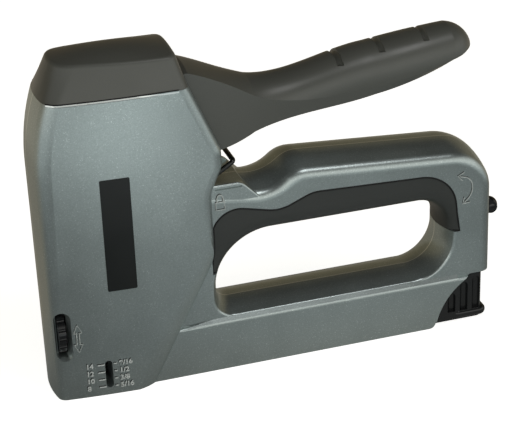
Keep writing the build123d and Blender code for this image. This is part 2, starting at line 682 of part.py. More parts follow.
def casting_cuts():
    """Everything cut from both halves alike."""
    mouth_rear = NECK_DEPTH + WALL
    boss_top = PIVOT_HEIGHT + PIVOT_BOSS_DIAMETER / 2
    core_half = ARM_WIDTH / 2 - WALL
    pin_bore = PIVOT_PIN_DIAMETER / 2 + PIN_GAP
    spring_half = RETURN_LENGTH / 2 + RUN_GAP
    spring_room = RETURN_DIAMETER / 2 + RUN_GAP
    corner = Pos(BAY_DEPTH, BAY_ROUND / 2) * Rectangle(2 * BAY_ROUND, BAY_ROUND)
    corner -= Pos(BAY_DEPTH - BAY_ROUND, BAY_ROUND) * Circle(BAY_ROUND)
    cuts = [
        prism(bay_face(0), HEAD_TOP_WIDTH),
        prism(corner, HEAD_TOP_WIDTH),
        block(LEVER_SLOT_FRONT, LEDGE_TAIL + LEDGE_RUN, -SLOT_HALF, SLOT_HALF, LEVER_SLOT_FLOOR, HEAD_HEIGHT),
        block(NECK_TOP_DEPTH, mouth_rear, -SLOT_HALF, SLOT_HALF, boss_top, HEAD_HEIGHT),
        block(
            PIVOT_DEPTH,
            LEVER_SLOT_FRONT,
            -spring_half,
            spring_half,
            PIVOT_HEIGHT - spring_room,
            PIVOT_HEIGHT + spring_room,
        ),
        block(ARM_CORE_FRONT, ARM_CORE_REAR, -core_half, core_half, WALL, CHANNEL_HEIGHT),
        cross_rod(PIVOT_DEPTH, PIVOT_HEIGHT, pin_bore, -PIVOT_PIN_REACH, PIVOT_PIN_REACH),
        block(
            SPRING_DEPTH - SEAT_LENGTH / 2 - SEAT_GAP,
            SPRING_DEPTH + SEAT_LENGTH / 2 + SEAT_GAP,
            -SEAT_WIDTH / 2 - SEAT_GAP,
            SEAT_WIDTH / 2 + SEAT_GAP,
            SEAT_FOOT,
            SEAT_TOP,
        ),
        block(
            NOSE_PLATE_REAR - NOSE_PLATE_THICKNESS - SEAT_GAP,
            NOSE_PLATE_REAR,
            -NOSE_PLATE_WIDTH / 2 - SEAT_GAP,
            NOSE_PLATE_WIDTH / 2 + SEAT_GAP,
            -WALL,
            NOSE_PLATE_HEIGHT + SEAT_GAP,
        ),
        block(
            NOSE_PLATE_REAR,
            MAGAZINE_FRONT,
            -BLADE_WIDTH / 2 - RUN_GAP,
            BLADE_WIDTH / 2 + RUN_GAP,
            -WALL,
            CAVITY_FLOOR,
        ),
        block(
            MAGAZINE_FRONT - SEAT_GAP,
            FAR,
            -CHANNEL_WIDTH / 2 - SEAT_GAP,
            CHANNEL_WIDTH / 2 + SEAT_GAP,
            -WALL,
            CHANNEL_HEIGHT,
        ),
        block(
            LATCH_SLOT_FRONT,
            FAR,
            -LATCH_WIDTH / 2 - RUN_GAP,
            LATCH_WIDTH / 2 + RUN_GAP,
            0,
            LATCH_SLOT_HEIGHT,
        ),
        cross_rod(
            LATCH_PIVOT_DEPTH,
            LATCH_PIVOT_HEIGHT,
            LATCH_PIN_DIAMETER / 2 + PIN_GAP,
            -LATCH_PIN_LENGTH / 2 - SEAT_GAP,
            LATCH_PIN_LENGTH / 2 + SEAT_GAP,
        ),
        cross_rod(
            BAIL_PIVOT_DEPTH,
            BAIL_PIVOT_HEIGHT,
            BAIL_WIRE / 2 + PIN_GAP,
            -BAIL_LEG - BAIL_PEG - RUN_GAP,
            BAIL_LEG + BAIL_PEG + RUN_GAP,
        ),
    ]
    cuts += wheel_cuts()
    return cuts


def wheel_cuts():
    """Slot and finger well for the power wheel, and the bearings of its shaft."""
    half = WHEEL_THICKNESS / 2 + RUN_GAP
    reach = WHEEL_DIAMETER / 2 + RUN_GAP
    slot = block(
        WHEEL_DEPTH - half,
        WHEEL_DEPTH + half,
        -HEAD_TOP_WIDTH,
        reach - WHEEL_OFFSET,
        WHEEL_HEIGHT - reach,
        WHEEL_HEIGHT + reach,
    )
    well_face = Rot(0, 0, 90) * SlotOverall(WHEEL_WELL_LENGTH, WHEEL_WELL_WIDTH)
    well_face = Pos(WHEEL_DEPTH, WHEEL_HEIGHT) * well_face
    floor = WHEEL_WELL_DEPTH - NOSE_WIDTH / 2
    well = extrude(Plane.XZ * well_face, amount=HEAD_TOP_WIDTH / 2, taper=-WHEEL_WELL_TAPER)
    well = Pos(0, floor, 0) * well
    shaft = long_rod(
        SHAFT_FRONT,
        CAM_BEARING_FRONT + CAM_BEARING_THICKNESS,
        -WHEEL_OFFSET,
        WHEEL_HEIGHT,
        CAM_SHAFT_DIAMETER / 2 + PIN_GAP,
    )
    return [slot, well, shaft]


def casting():
    """Whole casting before it is parted, hollow and cut."""
    loop = loop_form(RIM_ROUND) - prism(insert_face(), HEAD_TOP_WIDTH)
    body = head_form() + loop + bail_ledges() + arm_panel()
    body -= head_hollow()
    for cut in casting_cuts():
        body -= cut
    for depth, height in SCREWS:
        body -= cross_rod(depth, height, SCREW_DIAMETER / 2 + SEAT_GAP, -SCREW_REACH, HEAD_TOP_WIDTH)
    return body


def half_at(depth, height):
    """Half width of the right half's outer face where a screw goes in."""
    return HEAD_WIDTH / 2 if depth < HIP_DEPTH else loop_half(height)


def housings():
    body = casting()
    left = split(body, bisect_by=Plane.XZ, keep=Keep.TOP)
    right = split(body, bisect_by=Plane.XZ, keep=Keep.BOTTOM)
    left -= window(-HEAD_TOP_WIDTH)
    for depth, height in SCREWS:
        seat = half_at(depth, height) - SCREW_SINK
        right -= cross_rod(depth, height, SCREW_HEAD_DIAMETER / 2 + SEAT_GAP, seat, HEAD_TOP_WIDTH)
    return left, right


def grip_insert():
    insert = loop_form(INSERT_RIM_ROUND) & prism(offset(insert_face(), -SEAM_GAP), HEAD_TOP_WIDTH)
    return insert - prism(offset(head_side(), SEAM_GAP), HEAD_TOP_WIDTH)


# Cap
def cap_section(height, inset):
    share = height / CAP_EDGE_HEIGHT
    draw = CAP_SIDE_DRAW * share + inset
    front = lean(HEAD_HEIGHT) + CAP_FRONT_DRAW * share + inset
    rear = SHOULDER_DEPTH - CAP_REAR_DRAW * share - inset
    face = plan(front, NOSE_TOP_WIDTH / 2 - draw, HEAD_TOP_WIDTH / 2 - draw, NOSE_TOP_ROUND - inset)
    face &= Pos(rear - LOFT_DEPTH / 2, 0) * Rectangle(LOFT_DEPTH, HEAD_TOP_WIDTH)
    face = fillet(face.vertices().sort_by(Axis.X)[-2:], CHEEK_ROUND - inset)
    return Pos(0, 0, HEAD_HEIGHT + height) * face


def cap_crown(across, inset):
    """Side outline under the crown at a cross position; the shoulders are straight, the middle arches."""
    shoulder = HEAD_TOP_WIDTH / 2 - CAP_SIDE_DRAW
    share = 1 - (across / shoulder)**2
    edge = HEAD_HEIGHT + CAP_EDGE_HEIGHT - inset
    front, rear = lean(HEAD_HEIGHT) - EDGE_CLEAR, SHOULDER_DEPTH + EDGE_CLEAR
    end = edge + CAP_END_RISE * share
    foot = HEAD_HEIGHT - EDGE_CLEAR
    face = make_face([
        ThreePointArc((front, end), ((front + rear) / 2, edge + CAP_RISE * share), (rear, end)),
        Polyline((rear, end), (rear, foot), (front, foot), (front, end)),
    ])
    return Pos(0, across, 0) * (Plane.XZ * face)


def cap_form(inset):
    """Drawn-in sides under the crown."""
    sides = loft([cap_section(0, inset), cap_section(CAP_HEIGHT, inset)], ruled=True)
    side = HEAD_TOP_WIDTH / 2
    return sides & loft([cap_crown(across, inset) for across in (-side, 0, side)])


def top_cap():
    cap = cap_form(0)
    rim = cap.edges().filter_by(lambda e: e.center().Z > HEAD_HEIGHT + CAP_EDGE_HEIGHT / 2)
    rim = rim.filter_by(lambda e: abs((e % 0.5).Z) < UPRIGHT)
    cap = fillet(rim, CAP_EDGE_ROUND) - cap_form(CAP_WALL)
    lip_inset = WALL + SEAT_GAP
    lip = head_section(HEAD_HEIGHT, lip_inset) - head_section(HEAD_HEIGHT, lip_inset + CAP_LIP_WALL)
    lip = extrude(lip, amount=CAP_LIP_DEPTH, both=True)
    reach = HEAD_TOP_WIDTH
    lip &= block(0, CAP_LIP_REAR, -reach, reach, HEAD_HEIGHT - CAP_LIP_DEPTH, HEAD_HEIGHT + CAP_LIP_WALL)
    top = HEAD_HEIGHT + CAP_MOUTH_HEIGHT
    mouth = block(BARREL_DEPTH, LOFT_DEPTH, -SLOT_HALF, SLOT_HALF, HEAD_HEIGHT, top)
    return cap + lip - mouth


# Lever
def lever_section(depth, foot, ridge, crown, half_foot, half_ridge):
    section = make_face([
        Polyline((half_ridge, ridge), (half_foot, foot), (-half_foot, foot), (-half_ridge, ridge)),
        ThreePointArc((-half_ridge, ridge), (0, crown), (half_ridge, ridge)),
    ])
    return Pos(depth, 0, 0) * (Plane.YZ * section)


def palm_groove(depth):
    """Notch across the lever's crown at a depth."""
    before = [station for station in LEVER_STATIONS if station[0] <= depth][-1]
    after = [station for station in LEVER_STATIONS if station[0] > depth][0]
    share = (depth - before[0]) / (after[0] - before[0])
    _, _, ridge, crown, _, half = (a + (b - a) * share for a, b in zip(before, after))
    rise = crown - ridge
    radius = (half**2 + rise**2) / (2 * rise)
    ring = Torus(radius + PALM_GROOVE_RADIUS - PALM_GROOVE_DEPTH, PALM_GROOVE_RADIUS)
    reach = 2 * PALM_GROOVE_RADIUS
    ring = Pos(depth, 0, crown - radius) * Rot(0, 90, 0) * ring
    return ring & block(depth - reach, depth + reach, -FAR, FAR, crown - PALM_GROOVE_REACH, FAR)


def front_bar():
    """Side outline of the cheeks that reach forward to the lift pin."""
    return link(
        (PIVOT_DEPTH, PIVOT_HEIGHT), CORE_PIVOT_RADIUS, (LIFT_PIN_DEPTH, LIFT_PIN_HEIGHT), CORE_TIP_RADIUS,
    )


def core_bar():
    """Side outline of the rear bar of the lever's steel channel."""
    return link(
        (PIVOT_DEPTH, PIVOT_HEIGHT), CORE_REAR_RADIUS, (CORE_TAIL_DEPTH, CORE_TAIL_HEIGHT), CORE_TAIL_RADIUS,
    )


def squeeze_lever():
    cover = Part()
    first = 0
    for steps in LEVER_RUN_COUNT:
        last = first + steps
        cover += loft([lever_section(*station) for station in LEVER_STATIONS[first:last + 1]])
        first = last
    front_cut = make_face(Polyline(
        (0, 0),
        (NECK_FOOT_DEPTH, 0),
        (NECK_FOOT_DEPTH, LEVER_STATIONS[0][1]),
        (PIVOT_DEPTH, PIVOT_HEIGHT),
        (NECK_TOP_DEPTH, NECK_TOP_HEIGHT),
        (0, NECK_TOP_HEIGHT),
        close=True,
    ))
    front_cut += Pos(PIVOT_DEPTH, PIVOT_HEIGHT) * Circle(PIVOT_BOSS_DIAMETER / 2 + RUN_GAP)
    cover -= prism(front_cut, HEAD_TOP_WIDTH)
    front = PIVOT_DEPTH - CORE_REAR_RADIUS
    rear = CORE_TAIL_DEPTH + CORE_TAIL_RADIUS + SEAT_GAP
    below = make_face(Polyline(
        (front, 0), (rear, 0), (rear, CORE_TAIL_HEIGHT), (front, PIVOT_HEIGHT), close=True,
    ))
    room = offset(front_bar() + core_bar(), SEAT_GAP) + below
    cover -= prism(room, CORE_WIDTH / 2 + SEAT_GAP)
    for depth in PALM_GROOVES:
        cover -= palm_groove(depth)
    return cover


def lever_core():
    """Steel channel: two cheeks that reach forward past the striker spring, joined by a web behind."""
    rear_bar = core_bar()
    half = CORE_WIDTH / 2
    inner = half - CORE_SHEET
    core = prism(front_bar() + rear_bar, half)
    core -= block(0, CORE_WEB_DEPTH, -inner, inner, 0, FAR)
    under = Pos(0, -CORE_SHEET) * rear_bar
    core -= prism(under, inner) + block(0, FAR, -inner, inner, 0, CORE_TAIL_HEIGHT - CORE_SHEET)
    core -= cross_rod(PIVOT_DEPTH, PIVOT_HEIGHT, BUSH_DIAMETER / 2 + PIN_GAP, -half, half)
    core -= cross_rod(LIFT_PIN_DEPTH, LIFT_PIN_HEIGHT, LIFT_PIN_DIAMETER / 2 + PIN_GAP, -half, half)
    return core


def tube(depth, height, outer, bore, half):
    body = cross_rod(depth, height, outer, -half, half)
    return body - cross_rod(depth, height, bore, -half, half)


def lever_bush():
    bore = PIVOT_PIN_DIAMETER / 2 + PIN_GAP
    return tube(PIVOT_DEPTH, PIVOT_HEIGHT, BUSH_DIAMETER / 2, bore, CORE_WIDTH / 2)


def lever_pivot_pin():
    reach = PIVOT_PIN_REACH - SEAT_GAP
    return cross_rod(PIVOT_DEPTH, PIVOT_HEIGHT, PIVOT_PIN_DIAMETER / 2, -reach, reach)


def lift_pin():
    half = CORE_WIDTH / 2
    return cross_rod(LIFT_PIN_DEPTH, LIFT_PIN_HEIGHT, LIFT_PIN_DIAMETER / 2, -half, half)


def lift_roller():
    bore = LIFT_PIN_DIAMETER / 2 + PIN_GAP
    half = CORE_WIDTH / 2 - CORE_SHEET - RUN_GAP
    return tube(LIFT_PIN_DEPTH, LIFT_PIN_HEIGHT, LIFT_ROLLER_DIAMETER / 2, bore, half)


def lever_return_spring():
    """Torsion coil round the bush with a straight leg at each end."""
    radius = (RETURN_DIAMETER - RETURN_WIRE) / 2
    coils = coil("lever_return_spring", radius, RETURN_WIRE, RETURN_LENGTH, RETURN_TURNS)
    spring = Pos(0, 0, -RETURN_LENGTH / 2) * coils
    for side in (-1, 1):
        leg = Pos(radius, side * RETURN_LEG / 2, side * (RETURN_LENGTH - RETURN_WIRE) / 2)
        wire = RegularPolygon(RETURN_WIRE / 2, WIRE_SIDES)
        spring += leg * Rot(90, 0, 0) * extrude(wire, RETURN_LEG / 2, both=True)
    return Pos(PIVOT_DEPTH, 0, PIVOT_HEIGHT) * Rot(90, 0, 0) * Rot(0, 0, RETURN_TURN) * spring


# Striker
def rivet_heights():
    return [HAMMER_FOOT + RIVET_RISE + step * RIVET_PITCH for step in range(2)]


def hammer():
    half = HAMMER_WIDTH / 2
    body = block(HAMMER_FRONT, HAMMER_REAR, -half, half, HAMMER_FOOT, HAMMER_TOP)
    rear_edges = body.edges().filter_by(Axis.Z).group_by(Axis.X)[-1]
    body = chamfer(rear_edges, HAMMER_CHAMFER)
    hook_top = HOOK_FOOT + HOOK_THICKNESS
    body += block(HAMMER_FRONT, HAMMER_FRONT + STEM_THICKNESS, -half, half, HAMMER_TOP, hook_top)
    body += block(HAMMER_FRONT, HAMMER_FRONT + HOOK_REACH, -half, half, HOOK_FOOT, hook_top)
    for height in rivet_heights():
        body -= long_rod(HAMMER_FRONT, BLADE_FRONT + RIVET_LENGTH, 0, height, RIVET_DIAMETER / 2 + PIN_GAP)
    return body


def driver_blade():
    half = BLADE_WIDTH / 2
    blade = block(BLADE_FRONT, HAMMER_FRONT, -half, half, BLADE_FOOT, BLADE_TOP)
    for height in rivet_heights():
        blade -= long_rod(BLADE_FRONT, HAMMER_FRONT, 0, height, RIVET_DIAMETER / 2 + PIN_GAP)
    return blade


def blade_rivets():
    rear = BLADE_FRONT + RIVET_LENGTH
    return Part() + [long_rod(BLADE_FRONT, rear, 0, height, RIVET_DIAMETER / 2) for height in rivet_heights()]


def main_spring():
    radius = (SPRING_DIAMETER - SPRING_WIRE) / 2
    spring = coil("main_spring", radius, SPRING_WIRE, SEAT_FOOT - HAMMER_TOP, SPRING_TURNS)
    return Pos(SPRING_DEPTH, 0, HAMMER_TOP) * spring


def spring_seat():
    reach = SEAT_LENGTH / 2
    half = SEAT_WIDTH / 2
    plate = block(SPRING_DEPTH - reach, SPRING_DEPTH + reach, -half, half, SEAT_FOOT, SEAT_TOP)
    spigot = Cylinder(SPRING_DIAMETER / 2 - SPRING_WIRE - RUN_GAP, SEAT_SPIGOT_HEIGHT)
    return plate + Pos(SPRING_DEPTH, 0, SEAT_FOOT - SEAT_SPIGOT_HEIGHT / 2) * spigot


def bumper():
    half = BUMPER_WIDTH / 2
    return block(HAMMER_REAR - BUMPER_LENGTH, HAMMER_REAR, -half, half, LEDGE_TOP, BUMPER_TOP)


# Power wheel
def wheel_place():
    return Pos(0, -WHEEL_OFFSET, WHEEL_HEIGHT) * Rot(0, 90, 0)


def power_wheel():
    radius = WHEEL_DIAMETER / 2
    face = Circle(radius) - Circle(CAM_SHAFT_DIAMETER / 2 + PIN_GAP)
    face -= PolarLocations(radius, WHEEL_NOTCHES) * Circle(WHEEL_NOTCH_RADIUS)
    return Pos(WHEEL_DEPTH, 0, 0) * wheel_place() * extrude(face, WHEEL_THICKNESS / 2, both=True)


def power_cam():
    rear = CAM_BEARING_FRONT + CAM_BEARING_THICKNESS
    shaft = long_rod(SHAFT_FRONT + RUN_GAP, rear, -WHEEL_OFFSET, WHEEL_HEIGHT, CAM_SHAFT_DIAMETER / 2)
    height = WHEEL_HEIGHT + CAM_THROW
    return shaft + long_rod(CAM_FRONT, CAM_FRONT + CAM_LENGTH, -WHEEL_OFFSET, height, CAM_DIAMETER / 2)


# Nose and magazine
def nose_plate():
    half = NOSE_PLATE_WIDTH / 2
    return block(NOSE_PLATE_REAR - NOSE_PLATE_THICKNESS, NOSE_PLATE_REAR, -half, half, 0, NOSE_PLATE_HEIGHT)


def gutter(front, rear, width, sheet, foot, top):
    """Inverted U of sheet."""
    half = width / 2
    outer = block(front, rear, -half, half, foot, top)
    return outer - block(front, rear, sheet - half, half - sheet, foot, top - sheet)


def window(left):
    """Slot that shows the staples, cut in from a cross position to the middle plane."""
    middle = Pos(WINDOW_DEPTH + WINDOW_WIDTH / 2, WINDOW_FOOT + WINDOW_HEIGHT / 2)
    return slab(middle * Rot(0, 0, 90) * SlotOverall(WINDOW_HEIGHT, WINDOW_WIDTH), left, 0)


def magazine_channel():
    channel = gutter(
        MAGAZINE_FRONT, CHANNEL_REAR, CHANNEL_WIDTH, CHANNEL_SHEET, CHANNEL_FOOT, CHANNEL_HEIGHT,
    )
    return channel - window(-CHANNEL_WIDTH)


def staple_rail():
    rail = gutter(RAIL_FRONT, RAIL_REAR, RAIL_WIDTH, RAIL_SHEET, RAIL_FOOT, RAIL_TOP)
    half = RAIL_SLOT_WIDTH / 2
    slot_rear = FOLLOWER_CORE_REAR + FOLLOWER_TRAVEL + RUN_GAP
    rail -= block(BLOCK_REAR, slot_rear, -half, half, ROD_HEIGHT, FAR)
    return rail - end_pin(PIN_GAP)


def rail_nose_block():
    half = RAIL_WIDTH / 2 - RAIL_SHEET
    body = block(RAIL_FRONT, BLOCK_REAR, -half, half, RAIL_FOOT, RAIL_TOP - RAIL_SHEET)
    return body - long_rod(RAIL_FRONT, BLOCK_REAR, 0, ROD_HEIGHT, ROD_DIAMETER / 2 + PIN_GAP)


def follower():
    half = FOLLOWER_WIDTH / 2
    rear = FOLLOWER_CORE_FRONT + FOLLOWER_LENGTH
    inside = RAIL_WIDTH / 2 + RUN_GAP
    saddle_foot = RAIL_TOP + RUN_GAP
    saddle = block(FOLLOWER_CORE_FRONT, rear, -half, half, FOLLOWER_FOOT, FOLLOWER_TOP)
    saddle -= block(FOLLOWER_CORE_FRONT, rear, -inside, inside, FOLLOWER_FOOT, saddle_foot)
    core_top = RAIL_TOP - RAIL_SHEET - RUN_GAP
    web = FOLLOWER_WEB / 2
    core_half = FOLLOWER_CORE_WIDTH / 2
    saddle += block(FOLLOWER_CORE_FRONT, FOLLOWER_CORE_REAR, -web, web, core_top, saddle_foot)
    saddle += block(
        FOLLOWER_CORE_FRONT, FOLLOWER_CORE_REAR, -core_half, core_half, FOLLOWER_CORE_FOOT, core_top,
    )
    return saddle - long_rod(0, FOLLOWER_CORE_REAR, 0, ROD_HEIGHT, ROD_DIAMETER / 2 + SLIDE_GAP)


def follower_rod():
    return long_rod(RAIL_FRONT, ROD_REAR, 0, ROD_HEIGHT, ROD_DIAMETER / 2)


def follower_spring():
    radius = (FOLLOWER_SPRING_DIAMETER - FOLLOWER_SPRING_WIRE) / 2
    length = END_CAP_POCKET_FRONT - FOLLOWER_CORE_REAR
    spring = coil("follower_spring", radius, FOLLOWER_SPRING_WIRE, length, FOLLOWER_SPRING_TURNS)
    return Pos(FOLLOWER_CORE_REAR, 0, ROD_HEIGHT) * Rot(0, 90, 0) * spring


def end_pin(gap):
    radius = END_PIN_DIAMETER / 2 + gap
    return cross_rod(END_PIN_DEPTH, END_PIN_HEIGHT, radius, -END_PIN_REACH - gap, END_PIN_REACH + gap)


def end_cap_lip():
    """Rounded flare round the rear of the end cap's foot."""
    half = END_CAP_WIDTH / 2 + LIP_FLARE
    lip = block(
        END_CAP_REAR - LIP_LENGTH,
        END_CAP_REAR + LIP_REACH,
        -half,
        half,
        END_CAP_FOOT,
        END_CAP_FOOT + LIP_HEIGHT,
    )
    lip = fillet(lip.edges().filter_by(Axis.Z), END_CAP_ROUND + LIP_FLARE)
    return fillet(lip.faces().filter_by(Axis.Z).edges(), LIP_ROUND)


def magazine_end_cap():
    half = END_CAP_WIDTH / 2
    face = bay_face(BAY_GAP) & Pos(END_CAP_REAR / 2, (END_CAP_FOOT + END_CAP_TOP) / 2) * Rectangle(
        END_CAP_REAR, END_CAP_TOP - END_CAP_FOOT,
    )
    cap = prism(face, half)
    rear_edges = cap.edges().filter_by(Axis.Z).group_by(Axis.X)[-1]
    cap = fillet(rear_edges, END_CAP_ROUND)
    cap += end_cap_lip()
    outer = RAIL_WIDTH / 2 + SEAT_GAP
    inner = RAIL_WIDTH / 2 - RAIL_SHEET - SEAT_GAP
    roof = RAIL_TOP + SEAT_GAP
    pocket = block(0, RAIL_REAR + SEAT_GAP, -outer, outer, 0, roof)
    tongue = block(
        END_CAP_POCKET_FRONT, RAIL_REAR + SEAT_GAP, -inner, inner, 0, RAIL_TOP - RAIL_SHEET - SEAT_GAP,
    )
    cap -= pocket - tongue
    cap -= long_rod(END_CAP_POCKET_FRONT, ROD_REAR + SEAT_GAP, 0, ROD_HEIGHT, ROD_DIAMETER / 2 + PIN_GAP)
    cap -= end_pin(PIN_GAP)
    for side in (-half, half):
        for step in range(FLUTE_COUNT):
            depth = FLUTE_FRONT + step * FLUTE_PITCH
            foot = END_CAP_FOOT + LIP_HEIGHT
            top = flute_top(depth)
            flute = Pos(depth, side, (foot + top) / 2) * Cylinder(FLUTE_RADIUS, top - foot)
            cap -= flute + Pos(depth, side, top) * Sphere(FLUTE_RADIUS)
    return cap


def flute_top(depth):
    """Upper end of a flute, kept clear below the end cap's curved front."""
    low, high = BAY_DEPTH, BAY_DEPTH + BAY_REACH
    share = min((depth - low) / (high - low), 1)
    return END_CAP_FOOT + (END_CAP_TOP - END_CAP_FOOT) * share**0.5 - FLUTE_CLEAR


# Latch, bail and screws
def magazine_latch():
    hub = (LATCH_PIVOT_DEPTH, LATCH_PIVOT_HEIGHT)
    arm = link(hub, LATCH_HUB_RADIUS, (LATCH_PIVOT_DEPTH, TOE_HEIGHT), LATCH_ARM_RADIUS)
    wedge = link(hub, LATCH_HUB_RADIUS, (BEAD_DEPTH, BEAD_HEIGHT), BEAD_NECK / 2)
    half = LATCH_WIDTH / 2
    latch = prism(arm + wedge, half)
    latch += Pos(BEAD_DEPTH, 0, BEAD_HEIGHT) * Sphere(BEAD_DIAMETER / 2)
    return latch - cross_rod(*hub, LATCH_PIN_DIAMETER / 2 + PIN_GAP, -half, half)


def latch_pin():
    half = LATCH_PIN_LENGTH / 2
    return cross_rod(LATCH_PIVOT_DEPTH, LATCH_PIVOT_HEIGHT, LATCH_PIN_DIAMETER / 2, -half, half)


def lock_bail():
    peg = BAIL_LEG + BAIL_PEG
    path = FilletPolyline(
        (BAIL_PIVOT_DEPTH, -peg, BAIL_PIVOT_HEIGHT),
        (BAIL_PIVOT_DEPTH, -BAIL_LEG, BAIL_PIVOT_HEIGHT),
        (BAIL_BAR_DEPTH, -BAIL_LEG, BAIL_BAR_HEIGHT),
        (BAIL_BAR_DEPTH, BAIL_LEG, BAIL_BAR_HEIGHT),
        (BAIL_PIVOT_DEPTH, BAIL_LEG, BAIL_PIVOT_HEIGHT),
        (BAIL_PIVOT_DEPTH, peg, BAIL_PIVOT_HEIGHT),
        radius=BAIL_BEND_RADIUS,
    )
    return sweep(Plane(origin=path @ 0, z_dir=path % 0) * Circle(BAIL_WIRE / 2), path=path)


def housing_screw(depth, height):
    seat = half_at(depth, height) - SCREW_SINK
    top = seat + SCREW_HEAD_HEIGHT
    screw = cross_rod(depth, height, SCREW_DIAMETER / 2, -SCREW_REACH, seat)
    screw += cross_rod(depth, height, SCREW_HEAD_DIAMETER / 2, seat, top)
    socket = Pos(depth, height) * RegularPolygon(SCREW_SOCKET, SOCKET_SIDES)
    return screw - slab(socket, top - SOCKET_DEPTH, top)


def housing_screws():
    return Part() + [housing_screw(*place) for place in SCREWS]


LEFT_HOUSING, RIGHT_HOUSING = housings()
NODES = {
    "left_housing": LEFT_HOUSING,
    "right_housing": RIGHT_HOUSING,
    "grip_insert": grip_insert(),
    "top_cap": top_cap(),
    "squeeze_lever": squeeze_lever(),
    "lever_core": lever_core(),
    "lever_bush": lever_bush(),
    "lever_pivot_pin": lever_pivot_pin(),
    "lift_pin": lift_pin(),
    "lift_roller": lift_roller(),
    "lever_return_spring": lever_return_spring(),
    "hammer": hammer(),
    "driver_blade": driver_blade(),
    "blade_rivets": blade_rivets(),
    "main_spring": main_spring(),
    "spring_seat": spring_seat(),
    "bumper": bumper(),
    "power_wheel": power_wheel(),
    "power_cam": power_cam(),
    "nose_plate": nose_plate(),
    "magazine_channel": magazine_channel(),
    "staple_rail": staple_rail(),
    "rail_nose_block": rail_nose_block(),
    "follower": follower(),
    "follower_rod": follower_rod(),
    "follower_spring": follower_spring(),
    "magazine_end_cap": magazine_end_cap(),
    "end_cap_pin": end_pin(0),
    "magazine_latch": magazine_latch(),
    "latch_pin": latch_pin(),
    "lock_bail": lock_bail(),
    "housing_screws": housing_screws(),
}

os.makedirs("parts", exist_ok=True)
for name, shape in NODES.items():
    export_step(Pos(NOSE_X, 0, 0) * shape, f"parts/{name}.step")
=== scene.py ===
import json
import math

import bmesh
import bpy
from mathutils import Matrix, Vector
from mathutils.bvhtree import BVHTree

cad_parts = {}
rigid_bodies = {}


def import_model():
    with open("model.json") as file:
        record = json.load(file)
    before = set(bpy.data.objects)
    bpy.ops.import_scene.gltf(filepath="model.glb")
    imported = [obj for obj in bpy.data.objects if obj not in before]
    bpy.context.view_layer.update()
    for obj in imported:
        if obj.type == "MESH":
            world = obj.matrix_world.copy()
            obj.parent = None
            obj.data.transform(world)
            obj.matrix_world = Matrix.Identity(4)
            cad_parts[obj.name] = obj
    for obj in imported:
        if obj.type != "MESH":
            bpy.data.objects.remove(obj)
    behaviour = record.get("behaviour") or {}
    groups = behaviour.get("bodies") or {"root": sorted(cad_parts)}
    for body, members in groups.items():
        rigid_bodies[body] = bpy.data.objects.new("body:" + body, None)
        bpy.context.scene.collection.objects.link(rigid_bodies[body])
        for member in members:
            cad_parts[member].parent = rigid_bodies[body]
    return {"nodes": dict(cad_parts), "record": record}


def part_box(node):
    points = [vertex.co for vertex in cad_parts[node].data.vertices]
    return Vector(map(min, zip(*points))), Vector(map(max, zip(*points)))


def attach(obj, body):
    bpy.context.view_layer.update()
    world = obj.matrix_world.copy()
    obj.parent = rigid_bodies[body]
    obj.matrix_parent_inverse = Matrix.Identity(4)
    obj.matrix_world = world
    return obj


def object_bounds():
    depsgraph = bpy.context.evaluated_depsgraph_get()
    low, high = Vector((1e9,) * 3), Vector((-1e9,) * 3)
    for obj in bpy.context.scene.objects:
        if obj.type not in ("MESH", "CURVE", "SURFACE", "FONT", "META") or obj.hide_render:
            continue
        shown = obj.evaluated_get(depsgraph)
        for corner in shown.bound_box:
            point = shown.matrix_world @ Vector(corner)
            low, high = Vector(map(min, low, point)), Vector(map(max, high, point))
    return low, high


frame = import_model()
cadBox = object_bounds()
nodes = frame["nodes"]
sceneObjects = bpy.context.scene.collection.objects
mm = 0.001
print("frame loaded,", len(nodes), "nodes")


# colours and shader nodes

mixShare, mixFirst, mixSecond, mixResult = 0, 6, 7, 2  # sockets of a Mix node that mixes colours
noiseSpan = {"From Min": 0.3, "From Max": 0.7}  # where most of a noise texture's values lie


def colour(hexText):
    # sRGB hex to the linear values that shaders use
    parts = [int(hexText[i:i + 2], 16) / 255 for i in (1, 3, 5)]
    linear = [c / 12.92 if c <= 0.04045 else ((c + 0.055) / 1.055) ** 2.4 for c in parts]
    return (*linear, 1.0)


def perSize(sizeMm):
    # texture scale whose features are about this many millimetres across
    return 1 / (sizeMm * mm)


def addNode(tree, kind, settings=(), values=(), links=()):
    node = tree.nodes.new(kind)
    for name, value in dict(settings).items():
        setattr(node, name, value)
    for name, value in dict(values).items():
        node.inputs[name].default_value = value
    for name, socket in dict(links).items():
        tree.links.new(socket, node.inputs[name])
    return node


def startMaterial(name, values):
    material = bpy.data.materials.new(name)
    material.use_nodes = True
    tree = material.node_tree
    tree.nodes.clear()
    shader = addNode(tree, "ShaderNodeBsdfPrincipled", values=values)
    addNode(tree, "ShaderNodeOutputMaterial", links={"Surface": shader.outputs[0]})
    coords = addNode(tree, "ShaderNodeTexCoord").outputs["Object"]
    return material, tree, shader, coords


# finishes

paint = dict(
    # the seam colour is a painted highlight: a pale stripe along the parting line at Y = 0
    dark="#A6B0AF", light="#B1BBBA", spark="#E4ECEA", seamHighlight="#E4E8E4", metallic=0.82, ior=1.45,
    # size in mm and noise detail of each pattern, with the flakes drawn coarser than they are, to show
    patterns={"flake": (0.6, 2), "spark": (0.45, 1), "mottle": (18, 2), "peel": (1.6, 1)},
    flakeSpan=(0.36, 0.64), sparkSpan=(0.64, 0.74), sparkShare=0.7, mottleValue=(0.95, 1.04), seamHighlightMm=0.3,
    roughness=0.3, uneven=0.02, peelStrength=0.12, peelDepthMm=0.04,
)


